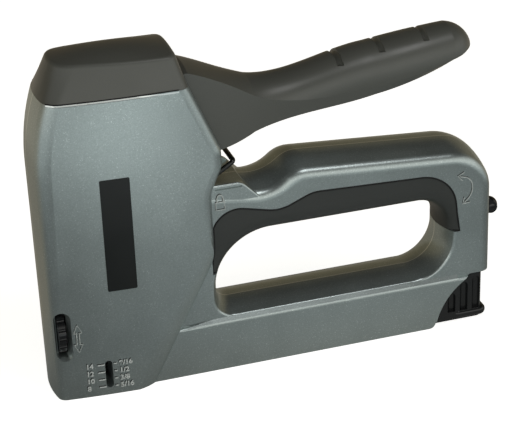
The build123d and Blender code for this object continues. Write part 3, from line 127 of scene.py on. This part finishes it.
def silverPaintOnDieCasting():
    # aluminium-flake paint on a die casting: fine sparkle, soft mottle, some orange peel, and a pale stripe
    # along the parting line that is a painted highlight
    material, tree, shader, coords = startMaterial(
        "silver_paint_on_die_casting", {"Metallic": paint["metallic"], "IOR": paint["ior"]})
    noise = {}
    for name, (sizeMm, detail) in paint["patterns"].items():
        noise[name] = addNode(tree, "ShaderNodeTexNoise", values={"Scale": perSize(sizeMm), "Detail": detail},
                              links={"Vector": coords}).outputs["Fac"]
    low, high = paint["flakeSpan"]
    grey = addNode(tree, "ShaderNodeMapRange", values={"From Min": low, "From Max": high},
                   links={"Value": noise["flake"]})
    body = addNode(tree, "ShaderNodeMix", {"data_type": "RGBA"},
                   {mixFirst: colour(paint["dark"]), mixSecond: colour(paint["light"])},
                   {mixShare: grey.outputs["Result"]})
    low, high = paint["sparkSpan"]
    bright = addNode(tree, "ShaderNodeMapRange", links={"Value": noise["spark"]},
                     values={"From Min": low, "From Max": high, "To Max": paint["sparkShare"]})
    body = addNode(tree, "ShaderNodeMix", {"data_type": "RGBA"}, {mixSecond: colour(paint["spark"])},
                   {mixShare: bright.outputs["Result"], mixFirst: body.outputs[mixResult]})
    low, high = paint["mottleValue"]
    cloud = addNode(tree, "ShaderNodeMapRange", links={"Value": noise["mottle"]},
                    values={**noiseSpan, "To Min": low, "To Max": high})
    body = addNode(tree, "ShaderNodeHueSaturation",
                   links={"Color": body.outputs[mixResult], "Value": cloud.outputs["Result"]})
    # painted highlight: a pale stripe where Y is within the seam width of zero, along the parting line
    across = addNode(tree, "ShaderNodeSeparateXYZ", links={"Vector": coords})
    distance = addNode(tree, "ShaderNodeMath", {"operation": "ABSOLUTE"}, links={0: across.outputs["Y"]})
    onSeamHighlight = addNode(tree, "ShaderNodeMath", {"operation": "LESS_THAN"}, {1: paint["seamHighlightMm"] * mm},
                     {0: distance.outputs[0]})
    body = addNode(tree, "ShaderNodeMix", {"data_type": "RGBA"}, {mixSecond: colour(paint["seamHighlight"])},
                   {mixShare: onSeamHighlight.outputs[0], mixFirst: body.outputs["Color"]})
    tree.links.new(body.outputs[mixResult], shader.inputs["Base Color"])
    gloss = addNode(tree, "ShaderNodeMapRange", links={"Value": noise["mottle"]},
                    values={**noiseSpan, "To Min": paint["roughness"] - paint["uneven"],
                            "To Max": paint["roughness"] + paint["uneven"]})
    tree.links.new(gloss.outputs["Result"], shader.inputs["Roughness"])
    bump = addNode(tree, "ShaderNodeBump", links={"Height": noise["peel"]},
                   values={"Strength": paint["peelStrength"], "Distance": paint["peelDepthMm"] * mm})
    tree.links.new(bump.outputs["Normal"], shader.inputs["Normal"])
    return material


# tone, lighter tone, roughness, grain size in mm (drawn coarser than it is, to show), strength of the grain
grained = {
    "moulded_satin_abs": ("#50514C", "#5A5B56", 0.34, 0.35, 0.2),  # spark-eroded mould: even satin sheen
    "moulded_grip_rubber": ("#333533", "#3A3C3A", 0.42, 0.5, 0.25),  # soft moulding: darker, dull shine
    "black_glass_filled_nylon": ("#18191A", "#1F2021", 0.12, 0.4, 0.08),  # polished mould: black, glossy
    "black_coated_wire": ("#101010", "#181818", 0.22, 0.6, 0.15),  # dipped coat: black with a thin highlight
    "black_oxide_steel": ("#1B1C1D", "#2A2B2C", 0.4, 0.3, 0.1),  # oxide bath: bluish black, hardly shiny
    "bumper_polyurethane": ("#151412", "#1E1C19", 0.55, 0.5, 0.2),  # cast pad: brownish black, matt
    "painted_joint_shade": ("#060606", "#0A0A0A", 0.7, 0.5, 0.1),  # black bead for painted shade: a deep black line where a joint's gap is in shade
    "pale_marking_ink": ("#CDD3D0", "#D8DDDA", 0.5, 0.3, 0.1),  # painted highlight on the cast scale: flat and pale
    "grey_marking_ink": ("#B6BCB9", "#C0C6C3", 0.5, 0.3, 0.1),  # painted highlight on the cast signs: flat, close to the paint
    "dark_marking_ink": ("#1E2423", "#282E2D", 0.5, 0.3, 0.1),  # painted shade: a dark copy along the marks' upper edges
    "printed_polyester_film": ("#080C0B", "#0C100F", 0.34, 0.3, 0.1),  # printed film: even satin black
}
grainedSurface = dict(ior=1.5, grainDepthMm=0.04, grainDetail=2, wearMm=14, wearDetail=3, smoother=0.04,
                      rougher=0.05)


def grainedFinish(name):
    # plastics, rubbers and coatings, and the painted highlights and painted shades of marks and joints: an
    # even colour broken by fine grain, with gloss in soft patches
    base, lighter, roughness, grainMm, strength = grained[name]
    surface = grainedSurface
    material, tree, shader, coords = startMaterial(name, {"IOR": surface["ior"]})
    grain = addNode(tree, "ShaderNodeTexNoise", links={"Vector": coords},
                    values={"Scale": perSize(grainMm), "Detail": surface["grainDetail"]})
    wear = addNode(tree, "ShaderNodeTexNoise", links={"Vector": coords},
                   values={"Scale": perSize(surface["wearMm"]), "Detail": surface["wearDetail"]})
    tone = addNode(tree, "ShaderNodeMix", {"data_type": "RGBA"},
                   {mixFirst: colour(base), mixSecond: colour(lighter)}, {mixShare: grain.outputs["Fac"]})
    tree.links.new(tone.outputs[mixResult], shader.inputs["Base Color"])
    gloss = addNode(tree, "ShaderNodeMapRange", links={"Value": wear.outputs["Fac"]},
                    values={**noiseSpan, "To Min": roughness - surface["smoother"],
                            "To Max": roughness + surface["rougher"]})
    tree.links.new(gloss.outputs["Result"], shader.inputs["Roughness"])
    bump = addNode(tree, "ShaderNodeBump", links={"Height": grain.outputs["Fac"]},
                   values={"Strength": strength, "Distance": surface["grainDepthMm"] * mm})
    tree.links.new(bump.outputs["Normal"], shader.inputs["Normal"])
    return material


# darker and lighter streak, roughness, streak size in mm along X, Y and Z
metals = {
    "zinc_plated_steel": ("#8D9094", "#B4B6B8", 0.32, (6, 0.4, 0.4)),  # rolled: pale streaks along the tool
    "oiled_spring_wire": ("#4C4D50", "#76777A", 0.3, (1.2, 1.2, 1.2)),  # drawn: dark grey, wet gleam
    "aluminium_painted_highlight": ("#DEE4E2", "#ECF0EF", 0.3, (4, 4, 4)),  # brighter than the casting's paint, so the rounded top edge of the casting shows a painted highlight: bright and even
    "sintered_bronze": ("#8A6A3A", "#B08A50", 0.45, (0.5, 0.5, 0.5)),  # pressed powder: brown, speckled
}
metalSurface = dict(streakDetail=3, smoother=0.06, rougher=0.08)


def metalFinish(name):
    # bare and plated metal: streaks in the tone, and gloss that changes with them
    dark, light, roughness, streakMm = metals[name]
    material, tree, shader, coords = startMaterial(name, {"Metallic": 1.0})
    stretched = addNode(tree, "ShaderNodeMapping", values={"Scale": [perSize(size) for size in streakMm]},
                        links={"Vector": coords})
    streaks = addNode(tree, "ShaderNodeTexNoise", links={"Vector": stretched.outputs["Vector"]},
                      values={"Scale": 1.0, "Detail": metalSurface["streakDetail"]})
    tone = addNode(tree, "ShaderNodeMix", {"data_type": "RGBA"},
                   {mixFirst: colour(dark), mixSecond: colour(light)}, {mixShare: streaks.outputs["Fac"]})
    tree.links.new(tone.outputs[mixResult], shader.inputs["Base Color"])
    gloss = addNode(tree, "ShaderNodeMapRange", links={"Value": streaks.outputs["Fac"]},
                    values={**noiseSpan, "To Min": roughness - metalSurface["smoother"],
                            "To Max": roughness + metalSurface["rougher"]})
    tree.links.new(gloss.outputs["Result"], shader.inputs["Roughness"])
    return material


finishes = {"silver_paint_on_die_casting": silverPaintOnDieCasting()}
finishes.update({name: grainedFinish(name) for name in grained})
finishes.update({name: metalFinish(name) for name in metals})

finishOfSlot = {
    "die_cast": "silver_paint_on_die_casting",
    "cover_plastic": "moulded_satin_abs",
    "soft_grip": "moulded_grip_rubber",
    "black_plastic": "black_glass_filled_nylon",
    "steel": "zinc_plated_steel",
    "spring_steel": "oiled_spring_wire",
    "bronze": "sintered_bronze",
    "bumper_rubber": "bumper_polyurethane",
    "black_wire": "black_coated_wire",
    "black_screw": "black_oxide_steel",
}
for part in frame["record"]["subparts"]:
    node = nodes[part["node"]]
    node.data.materials.clear()
    node.data.materials.append(finishes[finishOfSlot[part["material_slot"]]])
print("finishes on the frame")


# marks on the casting's left side, drawn flat in mm: behind the nose, up, out

casting = bmesh.new()
casting.from_mesh(nodes["left_housing"].data)
castingSide = BVHTree.FromBMesh(casting)
casting.free()
castingLow = Vector(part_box("left_housing")[0])


def atSide(behindNose, height):
    start = Vector((castingLow.x + behindNose * mm, 2 * castingLow.y, height * mm))
    return castingSide.ray_cast(start, Vector((0, 1, 0)))[0]


def shapeOf(curve):
    holder = bpy.data.objects.new("drawing", curve)
    sceneObjects.link(holder)
    mesh = bpy.data.meshes.new_from_object(holder.evaluated_get(bpy.context.evaluated_depsgraph_get()))
    bpy.data.objects.remove(holder)
    shape = bmesh.new()
    shape.from_mesh(mesh)
    bpy.data.meshes.remove(mesh)
    for face in shape.faces:
        face.material_index = 0
    return shape


def addOnHousing(name, shape, finish):
    mesh = bpy.data.meshes.new(name)
    shape.to_mesh(mesh)
    shape.free()
    mesh.materials.append(finishes[finish])
    piece = bpy.data.objects.new(name, mesh)
    sceneObjects.link(piece)
    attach(piece, "housing")


def layOnSide(name, shape, finish):
    for vertex in shape.verts:
        behindNose, height, proud = vertex.co
        vertex.co = atSide(behindNose, height) - Vector((0, proud * mm, 0))
    addOnHousing(name, shape, finish)


labelPlate = dict(low=(26.3, 50.7), high=(39.0, 102.6), proud=0.15, cornerMm=0.6, cornerSteps=3, grid=(8, 24))


def addLabelPlate():
    low, high = Vector(labelPlate["low"]), Vector(labelPlate["high"])
    size, middle = high - low, (low + high) / 2
    columns, rows = labelPlate["grid"]
    shape = bmesh.new()
    bmesh.ops.create_grid(shape, x_segments=columns, y_segments=rows, size=0.5)
    bmesh.ops.scale(shape, vec=(size.x, size.y, 1), verts=shape.verts)
    bmesh.ops.translate(shape, vec=(middle.x, middle.y, labelPlate["proud"]), verts=shape.verts)
    corners = [vertex for vertex in shape.verts if len(vertex.link_faces) == 1]
    bmesh.ops.bevel(shape, geom=corners, affect="VERTICES", offset=labelPlate["cornerMm"],
                    segments=labelPlate["cornerSteps"], profile=0.5, material=-1)
    bmesh.ops.solidify(shape, geom=shape.faces[:], thickness=2 * labelPlate["proud"])
    bmesh.ops.recalc_face_normals(shape, faces=shape.faces)
    layOnSide("label_plate", shape, "printed_polyester_film")


signs = dict(
    # the signs' grey is a painted highlight, and a dark copy shifted up and less proud is their painted shade
    lineMm=0.55, proud=0.14, shadeProud=0.07, shadeShift=(-0.25, 0.45),
    # each line is smooth or not, closed or not, then its points
    lines={
        "power_arrow": [
            (False, True, (11.9, 36.6), (13.7, 32.6), (12.5, 32.6), (12.5, 27.0), (13.7, 27.0), (11.9, 23.0),
             (10.1, 27.0), (11.3, 27.0), (11.3, 32.6), (10.1, 32.6)),
        ],
        "padlock": [
            (False, True, (76.0, 78.8), (80.0, 78.8), (80.0, 82.4), (76.0, 82.4)),
            (True, False, (76.6, 82.4), (76.8, 84.6), (78.0, 85.8), (79.2, 84.6), (79.4, 82.4)),
        ],
        "latch_arrow": [
            (True, False, (188.6, 75.4), (193.0, 73.6), (194.8, 69.4), (194.0, 65.2), (191.2, 62.0)),
            (False, False, (190.6, 77.2), (187.6, 75.6), (189.8, 73.2)),
            (False, False, (194.0, 61.8), (190.4, 61.4), (191.0, 64.6)),
        ],
    },
)


def roundLine(name, radius):
    curve = bpy.data.curves.new(name, "CURVE")
    curve.dimensions = "3D"
    curve.resolution_u = 6
    curve.bevel_depth = radius
    curve.bevel_resolution = 2
    curve.use_fill_caps = True
    return curve


def addSign(name, ending, shift, proud, finish):
    curve = roundLine(name, signs["lineMm"] / 2)
    for smooth, closed, *points in signs["lines"][name]:
        spline = curve.splines.new("BEZIER" if smooth else "POLY")
        knots = spline.bezier_points if smooth else spline.points
        knots.add(len(points) - 1)
        for knot, (behindNose, height) in zip(knots, points):
            place = (behindNose + shift[0], height + shift[1], 0)
            knot.co = place if smooth else (*place, 1)
            if smooth:
                knot.handle_left_type = knot.handle_right_type = "AUTO"
        spline.use_cyclic_u = closed
    shape = shapeOf(curve)
    bmesh.ops.scale(shape, vec=(1, 1, 2 * proud / signs["lineMm"]), verts=shape.verts)
    layOnSide(name + ending, shape, finish)


# scale beside the staple window: numbers and ticks in a pale colour that is their painted highlight, each
# with a dark copy above it that is their painted shade
scale = dict(
    sizeMm=3.3, halfFigure=1 / 3,  # half a number's height is this share of its text size
    fattenMm=0.09, heights=(15.3, 11.6, 7.9, 4.2),
    numbers=((14.0, ("14", "12", "10", "8")), (28.5, ("9/16", "1/2", "3/8", "5/16"))),
    ticks=((19.2, 22.2), (26.3, 27.6)), tickMm=0.55, proud=0.16, shadeProud=0.08, shadeShift=(-0.25, 0.45),
)


def addScale(name, shift, proud, finish):
    shape = bmesh.new()
    for row, height in enumerate(scale["heights"]):
        for start, words in scale["numbers"]:
            letters = bpy.data.curves.new("number", "FONT")
            letters.body = words[row]
            letters.size = scale["sizeMm"]
            letters.extrude = proud
            letters.offset = scale["fattenMm"]
            number = shapeOf(letters)
            foot = height - scale["sizeMm"] * scale["halfFigure"]
            bmesh.ops.translate(number, vec=(start + shift[0], foot + shift[1], 0), verts=number.verts)
            mesh = bpy.data.meshes.new("number")
            number.to_mesh(mesh)
            number.free()
            shape.from_mesh(mesh)
            bpy.data.meshes.remove(mesh)
        for start, stop in scale["ticks"]:
            tick = bmesh.ops.create_cube(shape, size=1.0)["verts"]
            bmesh.ops.scale(shape, vec=(stop - start, scale["tickMm"], 2 * proud), verts=tick)
            bmesh.ops.translate(shape, vec=((start + stop) / 2 + shift[0], height + shift[1], 0), verts=tick)
    layOnSide(name, shape, finish)


# bars along the casting, the same on both sides

def drawBar(section, start, stop, cuts):
    # the section's points are out and up
    shape = bmesh.new()
    end = shape.faces.new([shape.verts.new((start, up, out)) for out, up in section])
    drawn = bmesh.ops.extrude_face_region(shape, geom=[end])["geom"]
    bmesh.ops.translate(shape, vec=(stop - start, 0, 0),
                        verts=[item for item in drawn if isinstance(item, bmesh.types.BMVert)])
    along = [edge for edge in shape.edges if edge.verts[0].co.x != edge.verts[1].co.x]
    bmesh.ops.subdivide_edges(shape, edges=along, cuts=cuts)
    return shape


def addBars(name, shape, finish):
    bmesh.ops.recalc_face_normals(shape, faces=shape.faces)
    bmesh.ops.rotate(shape, verts=shape.verts, matrix=Matrix.Rotation(math.radians(90), 3, "X"))
    bmesh.ops.mirror(shape, geom=shape.verts[:] + shape.edges[:] + shape.faces[:], axis="Y")
    bmesh.ops.scale(shape, vec=(mm, mm, mm), verts=shape.verts)
    bmesh.ops.translate(shape, vec=(castingLow.x, 0, 0), verts=shape.verts)
    bmesh.ops.recalc_face_normals(shape, faces=shape.faces)
    addOnHousing(name, shape, finish)


# chamfered shoulder along the top of the arm's panel, pointed at the front
armShoulder = dict(front=58.0, full=72.0, rear=189.0, cuts=8, point=(14.6, 23.2), bluntness=0.02,
                   section=((13.4, 22.7), (14.9, 22.7), (15.06, 23.1), (14.72, 23.8), (13.4, 25.3)))


def addArmShoulder():
    front, full = armShoulder["front"], armShoulder["full"]
    shape = drawBar(armShoulder["section"], front, armShoulder["rear"], armShoulder["cuts"])
    pointOut, pointUp = armShoulder["point"]
    for vertex in shape.verts:
        share = min(1, (vertex.co.x - front) / (full - front))
        tip = Vector((vertex.co.x, pointUp, pointOut))
        vertex.co = tip.lerp(vertex.co, max(share, armShoulder["bluntness"]))
    addBars("arm_shoulder", shape, "silver_paint_on_die_casting")


# edge of the casting under the cap, in a metal brighter than the paint as a painted highlight, and a black
# bead above it as the painted shade of the joint: out from the wall, up from the casting's top
brim = dict(
    front=8.0, rear=62.0, cuts=17, wallBelowMm=1.0,
    bars={
        "brim_edge_highlight": ("aluminium_painted_highlight", ((-0.3, 0), (0, 0), (0.32, -0.62), (0, -1.0), (-0.3, -1.0))),
        "brim_joint_shade": ("painted_joint_shade", ((-0.3, 0.45), (0, 0.45), (0.12, 0.35), (0.12, 0), (0, -0.1),
                                        (-0.3, -0.1))),
    },
)


def addBrim(name):
    finish, section = brim["bars"][name]
    top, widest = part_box("left_housing")[1][2] / mm, cadBox[1][1] / mm
    shape = drawBar(section, brim["front"], brim["rear"], brim["cuts"])
    for vertex in shape.verts:
        wall = atSide(vertex.co.x, top - brim["wallBelowMm"])
        vertex.co.y += top
        vertex.co.z = min(vertex.co.z - wall.y / mm, widest)
    addBars(name, shape, finish)


# black bead in the joint between the grip insert and the casting: painted shade of the gap
insertJointShade = dict(radiusMm=0.4, sideways=0.75, seamTurn=0.45, mergeMm=0.002)


def followOn(run, edges):
    # lengthens the run from its last vertex by touching edges, which leave the list
    onward = [edge for edge in run[-1].link_edges if edge in edges]
    while onward:
        edges.remove(onward[0])
        run.append(onward[0].other_vert(run[-1]))
        onward = [edge for edge in run[-1].link_edges if edge in edges]


def addInsertJointShade():
    shape = bmesh.new()
    shape.from_mesh(nodes["grip_insert"].data)
    bmesh.ops.remove_doubles(shape, verts=shape.verts, dist=insertJointShade["mergeMm"] * mm)
    joint = []
    for edge in shape.edges:
        turns = sorted(abs(face.normal.y) for face in edge.link_faces)
        if len(turns) == 2 and turns[1] > insertJointShade["sideways"] and turns[0] < insertJointShade["seamTurn"]:
            joint.append(edge)
    curve = roundLine("insert_joint_shade", insertJointShade["radiusMm"] * mm)
    while joint:
        run = list(joint.pop().verts)
        followOn(run, joint)
        run.reverse()
        followOn(run, joint)
        spline = curve.splines.new("POLY")
        spline.points.add(len(run) - 1)
        for point, vertex in zip(spline.points, run):
            point.co = (*vertex.co, 1)
    shape.free()
    addOnHousing("insert_joint_shade", shapeOf(curve), "painted_joint_shade")


addArmShoulder()
# black bead along the insert's joint as its painted shade
addInsertJointShade()
# rounded edge in a brighter metal as a painted highlight, and a black bead above it as the joint's painted
# shade
for brimName in brim["bars"]:
    addBrim(brimName)
addLabelPlate()
# each sign in grey as its painted highlight, then a dark copy as its painted shade
for signName in signs["lines"]:
    addSign(signName, "", (0, 0), signs["proud"], "grey_marking_ink")
    addSign(signName, "_ink", signs["shadeShift"], signs["shadeProud"], "dark_marking_ink")
# the scale in pale as its painted highlight, then a dark copy as its painted shade
addScale("scale_marks", (0, 0), scale["proud"], "pale_marking_ink")
addScale("scale_ink", scale["shadeShift"], scale["shadeProud"], "dark_marking_ink")
print("marks laid on the casting")


# camera at the photograph's angle

view = dict(azimuth=-16.5, elevation=26.0, roll=2.2, distance=730, target=(-6.2, 0, 67.4), focalPx=1659,
            widthPx=523, sensorMm=36.0, clipMm=10)


def towards(azimuthDegrees, elevationDegrees):
    azimuth, elevation = math.radians(azimuthDegrees), math.radians(elevationDegrees)
    level = math.cos(elevation)
    return Vector((math.sin(azimuth) * level, -math.cos(azimuth) * level, math.sin(elevation)))


def addCamera():
    azimuth, roll = math.radians(view["azimuth"]), math.radians(view["roll"])
    back = towards(view["azimuth"], view["elevation"])
    right = Vector((math.cos(azimuth), math.sin(azimuth), 0))
    up = back.cross(right)
    tiltedRight = right * math.cos(roll) - up * math.sin(roll)
    tiltedUp = right * math.sin(roll) + up * math.cos(roll)
    camera = bpy.data.objects.new("camera", bpy.data.cameras.new("camera"))
    camera.data.sensor_fit = "HORIZONTAL"
    camera.data.sensor_width = view["sensorMm"]
    camera.data.lens = view["focalPx"] * view["sensorMm"] / view["widthPx"]
    camera.data.clip_start = view["clipMm"] * mm
    camera.matrix_world = Matrix((tiltedRight, tiltedUp, back)).transposed().to_4x4()
    camera.location = (Vector(view["target"]) + back * view["distance"]) * mm
    sceneObjects.link(camera)
    bpy.context.scene.camera = camera


addCamera()
print("camera set")


# studio: pale floor, one softbox, and a room that is bright in front and dim brown behind and above the tool

softbox = dict(azimuth=32, elevation=60, distance=900, widthMm=320, heightMm=200, watts=1.0, tint="#FFFFFF")


def addSoftbox():
    away = towards(softbox["azimuth"], softbox["elevation"])
    light = bpy.data.lights.new("key", "AREA")
    light.shape = "RECTANGLE"
    light.size = softbox["widthMm"] * mm
    light.size_y = softbox["heightMm"] * mm
    light.energy = softbox["watts"]
    light.color = colour(softbox["tint"])[:3]
    lamp = bpy.data.objects.new("key", light)
    lamp.visible_camera = False
    lamp.location = (Vector(view["target"]) + away * softbox["distance"]) * mm
    lamp.rotation_euler = away.to_track_quat("Z", "Y").to_euler()
    sceneObjects.link(lamp)


floorSheet = dict(
    sizeMm=8000, dropMm=0.05, tint="#F2F2F0", glow=1.0, roughness=0.9, specular=0.1,
    # what the floor lends to reflections: a band beside the tool, a bright patch in front, bright further out
    bandMm=(45, 20, 170), bandGlow=(0.34, 0.115), patchMm=(-45, -310, 130), patchGlow=1.5,
    farMm=(260, 430), farGlow=0.6, behindMm=60, behindGlow=0.38, frontTint="#F2FAFA", behindTint="#D8CDB8",
)


def whitePaper():
    # matt white sheet that glows a little, so that no horizon shows
    material, tree, shader, coords = startMaterial("white_paper", {
        "Base Color": colour(floorSheet["tint"]), "Roughness": floorSheet["roughness"],
        "Specular IOR Level": floorSheet["specular"],
        "Emission Color": colour(floorSheet["tint"]), "Emission Strength": floorSheet["glow"]})
    place = addNode(tree, "ShaderNodeSeparateXYZ", links={"Vector": coords})
    middle, bandNear, bandFar = (size * mm for size in floorSheet["bandMm"])
    bandHigh, bandLow = floorSheet["bandGlow"]
    beside = addNode(tree, "ShaderNodeMath", {"operation": "SUBTRACT"}, {1: middle}, {0: place.outputs["X"]})
    beside = addNode(tree, "ShaderNodeMath", {"operation": "ABSOLUTE"}, links={0: beside.outputs[0]})
    band = addNode(tree, "ShaderNodeMapRange", {"interpolation_type": "SMOOTHSTEP"},
                   {"From Min": bandNear, "From Max": bandFar, "To Min": bandHigh, "To Max": bandLow},
                   {"Value": beside.outputs[0]})
    patchX, patchY, patchReach = (size * mm for size in floorSheet["patchMm"])
    away = addNode(tree, "ShaderNodeVectorMath", {"operation": "DISTANCE"}, {1: (patchX, patchY, 0)},
                   {0: coords})
    patch = addNode(tree, "ShaderNodeMapRange", {"interpolation_type": "SMOOTHSTEP"},
                    {"From Max": patchReach, "To Min": floorSheet["patchGlow"], "To Max": 0.0},
                    {"Value": away.outputs["Value"]})
    close = addNode(tree, "ShaderNodeMath", {"operation": "ADD"},
                    links={0: band.outputs["Result"], 1: patch.outputs["Result"]})
    out = addNode(tree, "ShaderNodeVectorMath", {"operation": "LENGTH"}, links={0: coords})
    farNear, farFull = (size * mm for size in floorSheet["farMm"])
    far = addNode(tree, "ShaderNodeMapRange", {"interpolation_type": "SMOOTHSTEP"},
                  {"From Min": farNear, "From Max": farFull, "To Max": floorSheet["farGlow"]},
                  {"Value": out.outputs["Value"]})
    glow = addNode(tree, "ShaderNodeMath", {"operation": "MAXIMUM"},
                   links={0: close.outputs[0], 1: far.outputs["Result"]})
    reach = floorSheet["behindMm"] * mm
    behind = addNode(tree, "ShaderNodeMapRange", values={"From Min": -reach, "From Max": reach},
                     links={"Value": place.outputs["Y"]})
    rear = addNode(tree, "ShaderNodeMath", {"operation": "MULTIPLY"}, {1: floorSheet["behindGlow"]},
                   {0: behind.outputs["Result"]})
    glow = addNode(tree, "ShaderNodeMath", {"operation": "MAXIMUM"},
                   links={0: glow.outputs[0], 1: rear.outputs[0]})
    tint = addNode(tree, "ShaderNodeMix", {"data_type": "RGBA"},
                   {mixFirst: colour(floorSheet["frontTint"]), mixSecond: colour(floorSheet["behindTint"])},
                   {mixShare: behind.outputs["Result"]})
    lent = addNode(tree, "ShaderNodeEmission",
                   links={"Color": tint.outputs[mixResult], "Strength": glow.outputs[0]})
    seen = addNode(tree, "ShaderNodeLightPath").outputs["Is Camera Ray"]
    both = addNode(tree, "ShaderNodeMixShader", links={0: seen, 1: lent.outputs[0], 2: shader.outputs[0]})
    tree.links.new(both.outputs[0], tree.nodes["Material Output"].inputs["Surface"])
    return material


def addFloor():
    shape = bmesh.new()
    bmesh.ops.create_grid(shape, x_segments=1, y_segments=1, size=floorSheet["sizeMm"] * mm / 2)
    bmesh.ops.translate(shape, verts=shape.verts, vec=(0, 0, -floorSheet["dropMm"] * mm))
    mesh = bpy.data.meshes.new("floor")
    shape.to_mesh(mesh)
    shape.free()
    mesh.materials.append(whitePaper())
    floor = bpy.data.objects.new("floor", mesh)
    sceneObjects.link(floor)


# the room by direction: Y runs from its front to its back, and dusk falls from one height to the next
room = dict(front="#FFFFFA", frontStrength=1.2, back="#756A52", zenith="#15120D", backdrop="#F4F4F2",
            depthFrom=-0.4, depthTo=0.3, duskFrom=0.34, duskTo=0.68)


def lightRoom():
    world = bpy.data.worlds.new("room")
    bpy.context.scene.world = world
    world.use_nodes = True
    tree = world.node_tree
    tree.nodes.clear()
    around = addNode(tree, "ShaderNodeTexCoord").outputs["Generated"]
    direction = addNode(tree, "ShaderNodeSeparateXYZ", links={"Vector": around})
    depth = addNode(tree, "ShaderNodeMapRange", links={"Value": direction.outputs["Y"]},
                    values={"From Min": room["depthFrom"], "From Max": room["depthTo"]})
    dusk = addNode(tree, "ShaderNodeMapRange", {"interpolation_type": "SMOOTHSTEP"},
                   {"From Min": room["duskFrom"], "From Max": room["duskTo"]},
                   {"Value": direction.outputs["Z"]})
    front = [channel * room["frontStrength"] for channel in colour(room["front"])]
    walls = addNode(tree, "ShaderNodeMix", {"data_type": "RGBA"},
                    {mixFirst: front, mixSecond: colour(room["back"])}, {mixShare: depth.outputs["Result"]})
    inside = addNode(tree, "ShaderNodeMix", {"data_type": "RGBA"}, {mixSecond: colour(room["zenith"])},
                     {mixShare: dusk.outputs["Result"], mixFirst: walls.outputs[mixResult]})
    seen = addNode(tree, "ShaderNodeLightPath").outputs["Is Camera Ray"]
    shown = addNode(tree, "ShaderNodeMix", {"data_type": "RGBA"}, {mixSecond: colour(room["backdrop"])},
                    {mixShare: seen, mixFirst: inside.outputs[mixResult]})
    sky = addNode(tree, "ShaderNodeBackground", links={"Color": shown.outputs[mixResult]})
    addNode(tree, "ShaderNodeOutputWorld", links={"Surface": sky.outputs[0]})


addFloor()
lightRoom()
addSoftbox()
bpy.context.scene.view_settings.view_transform = "Standard"
print("studio lit")
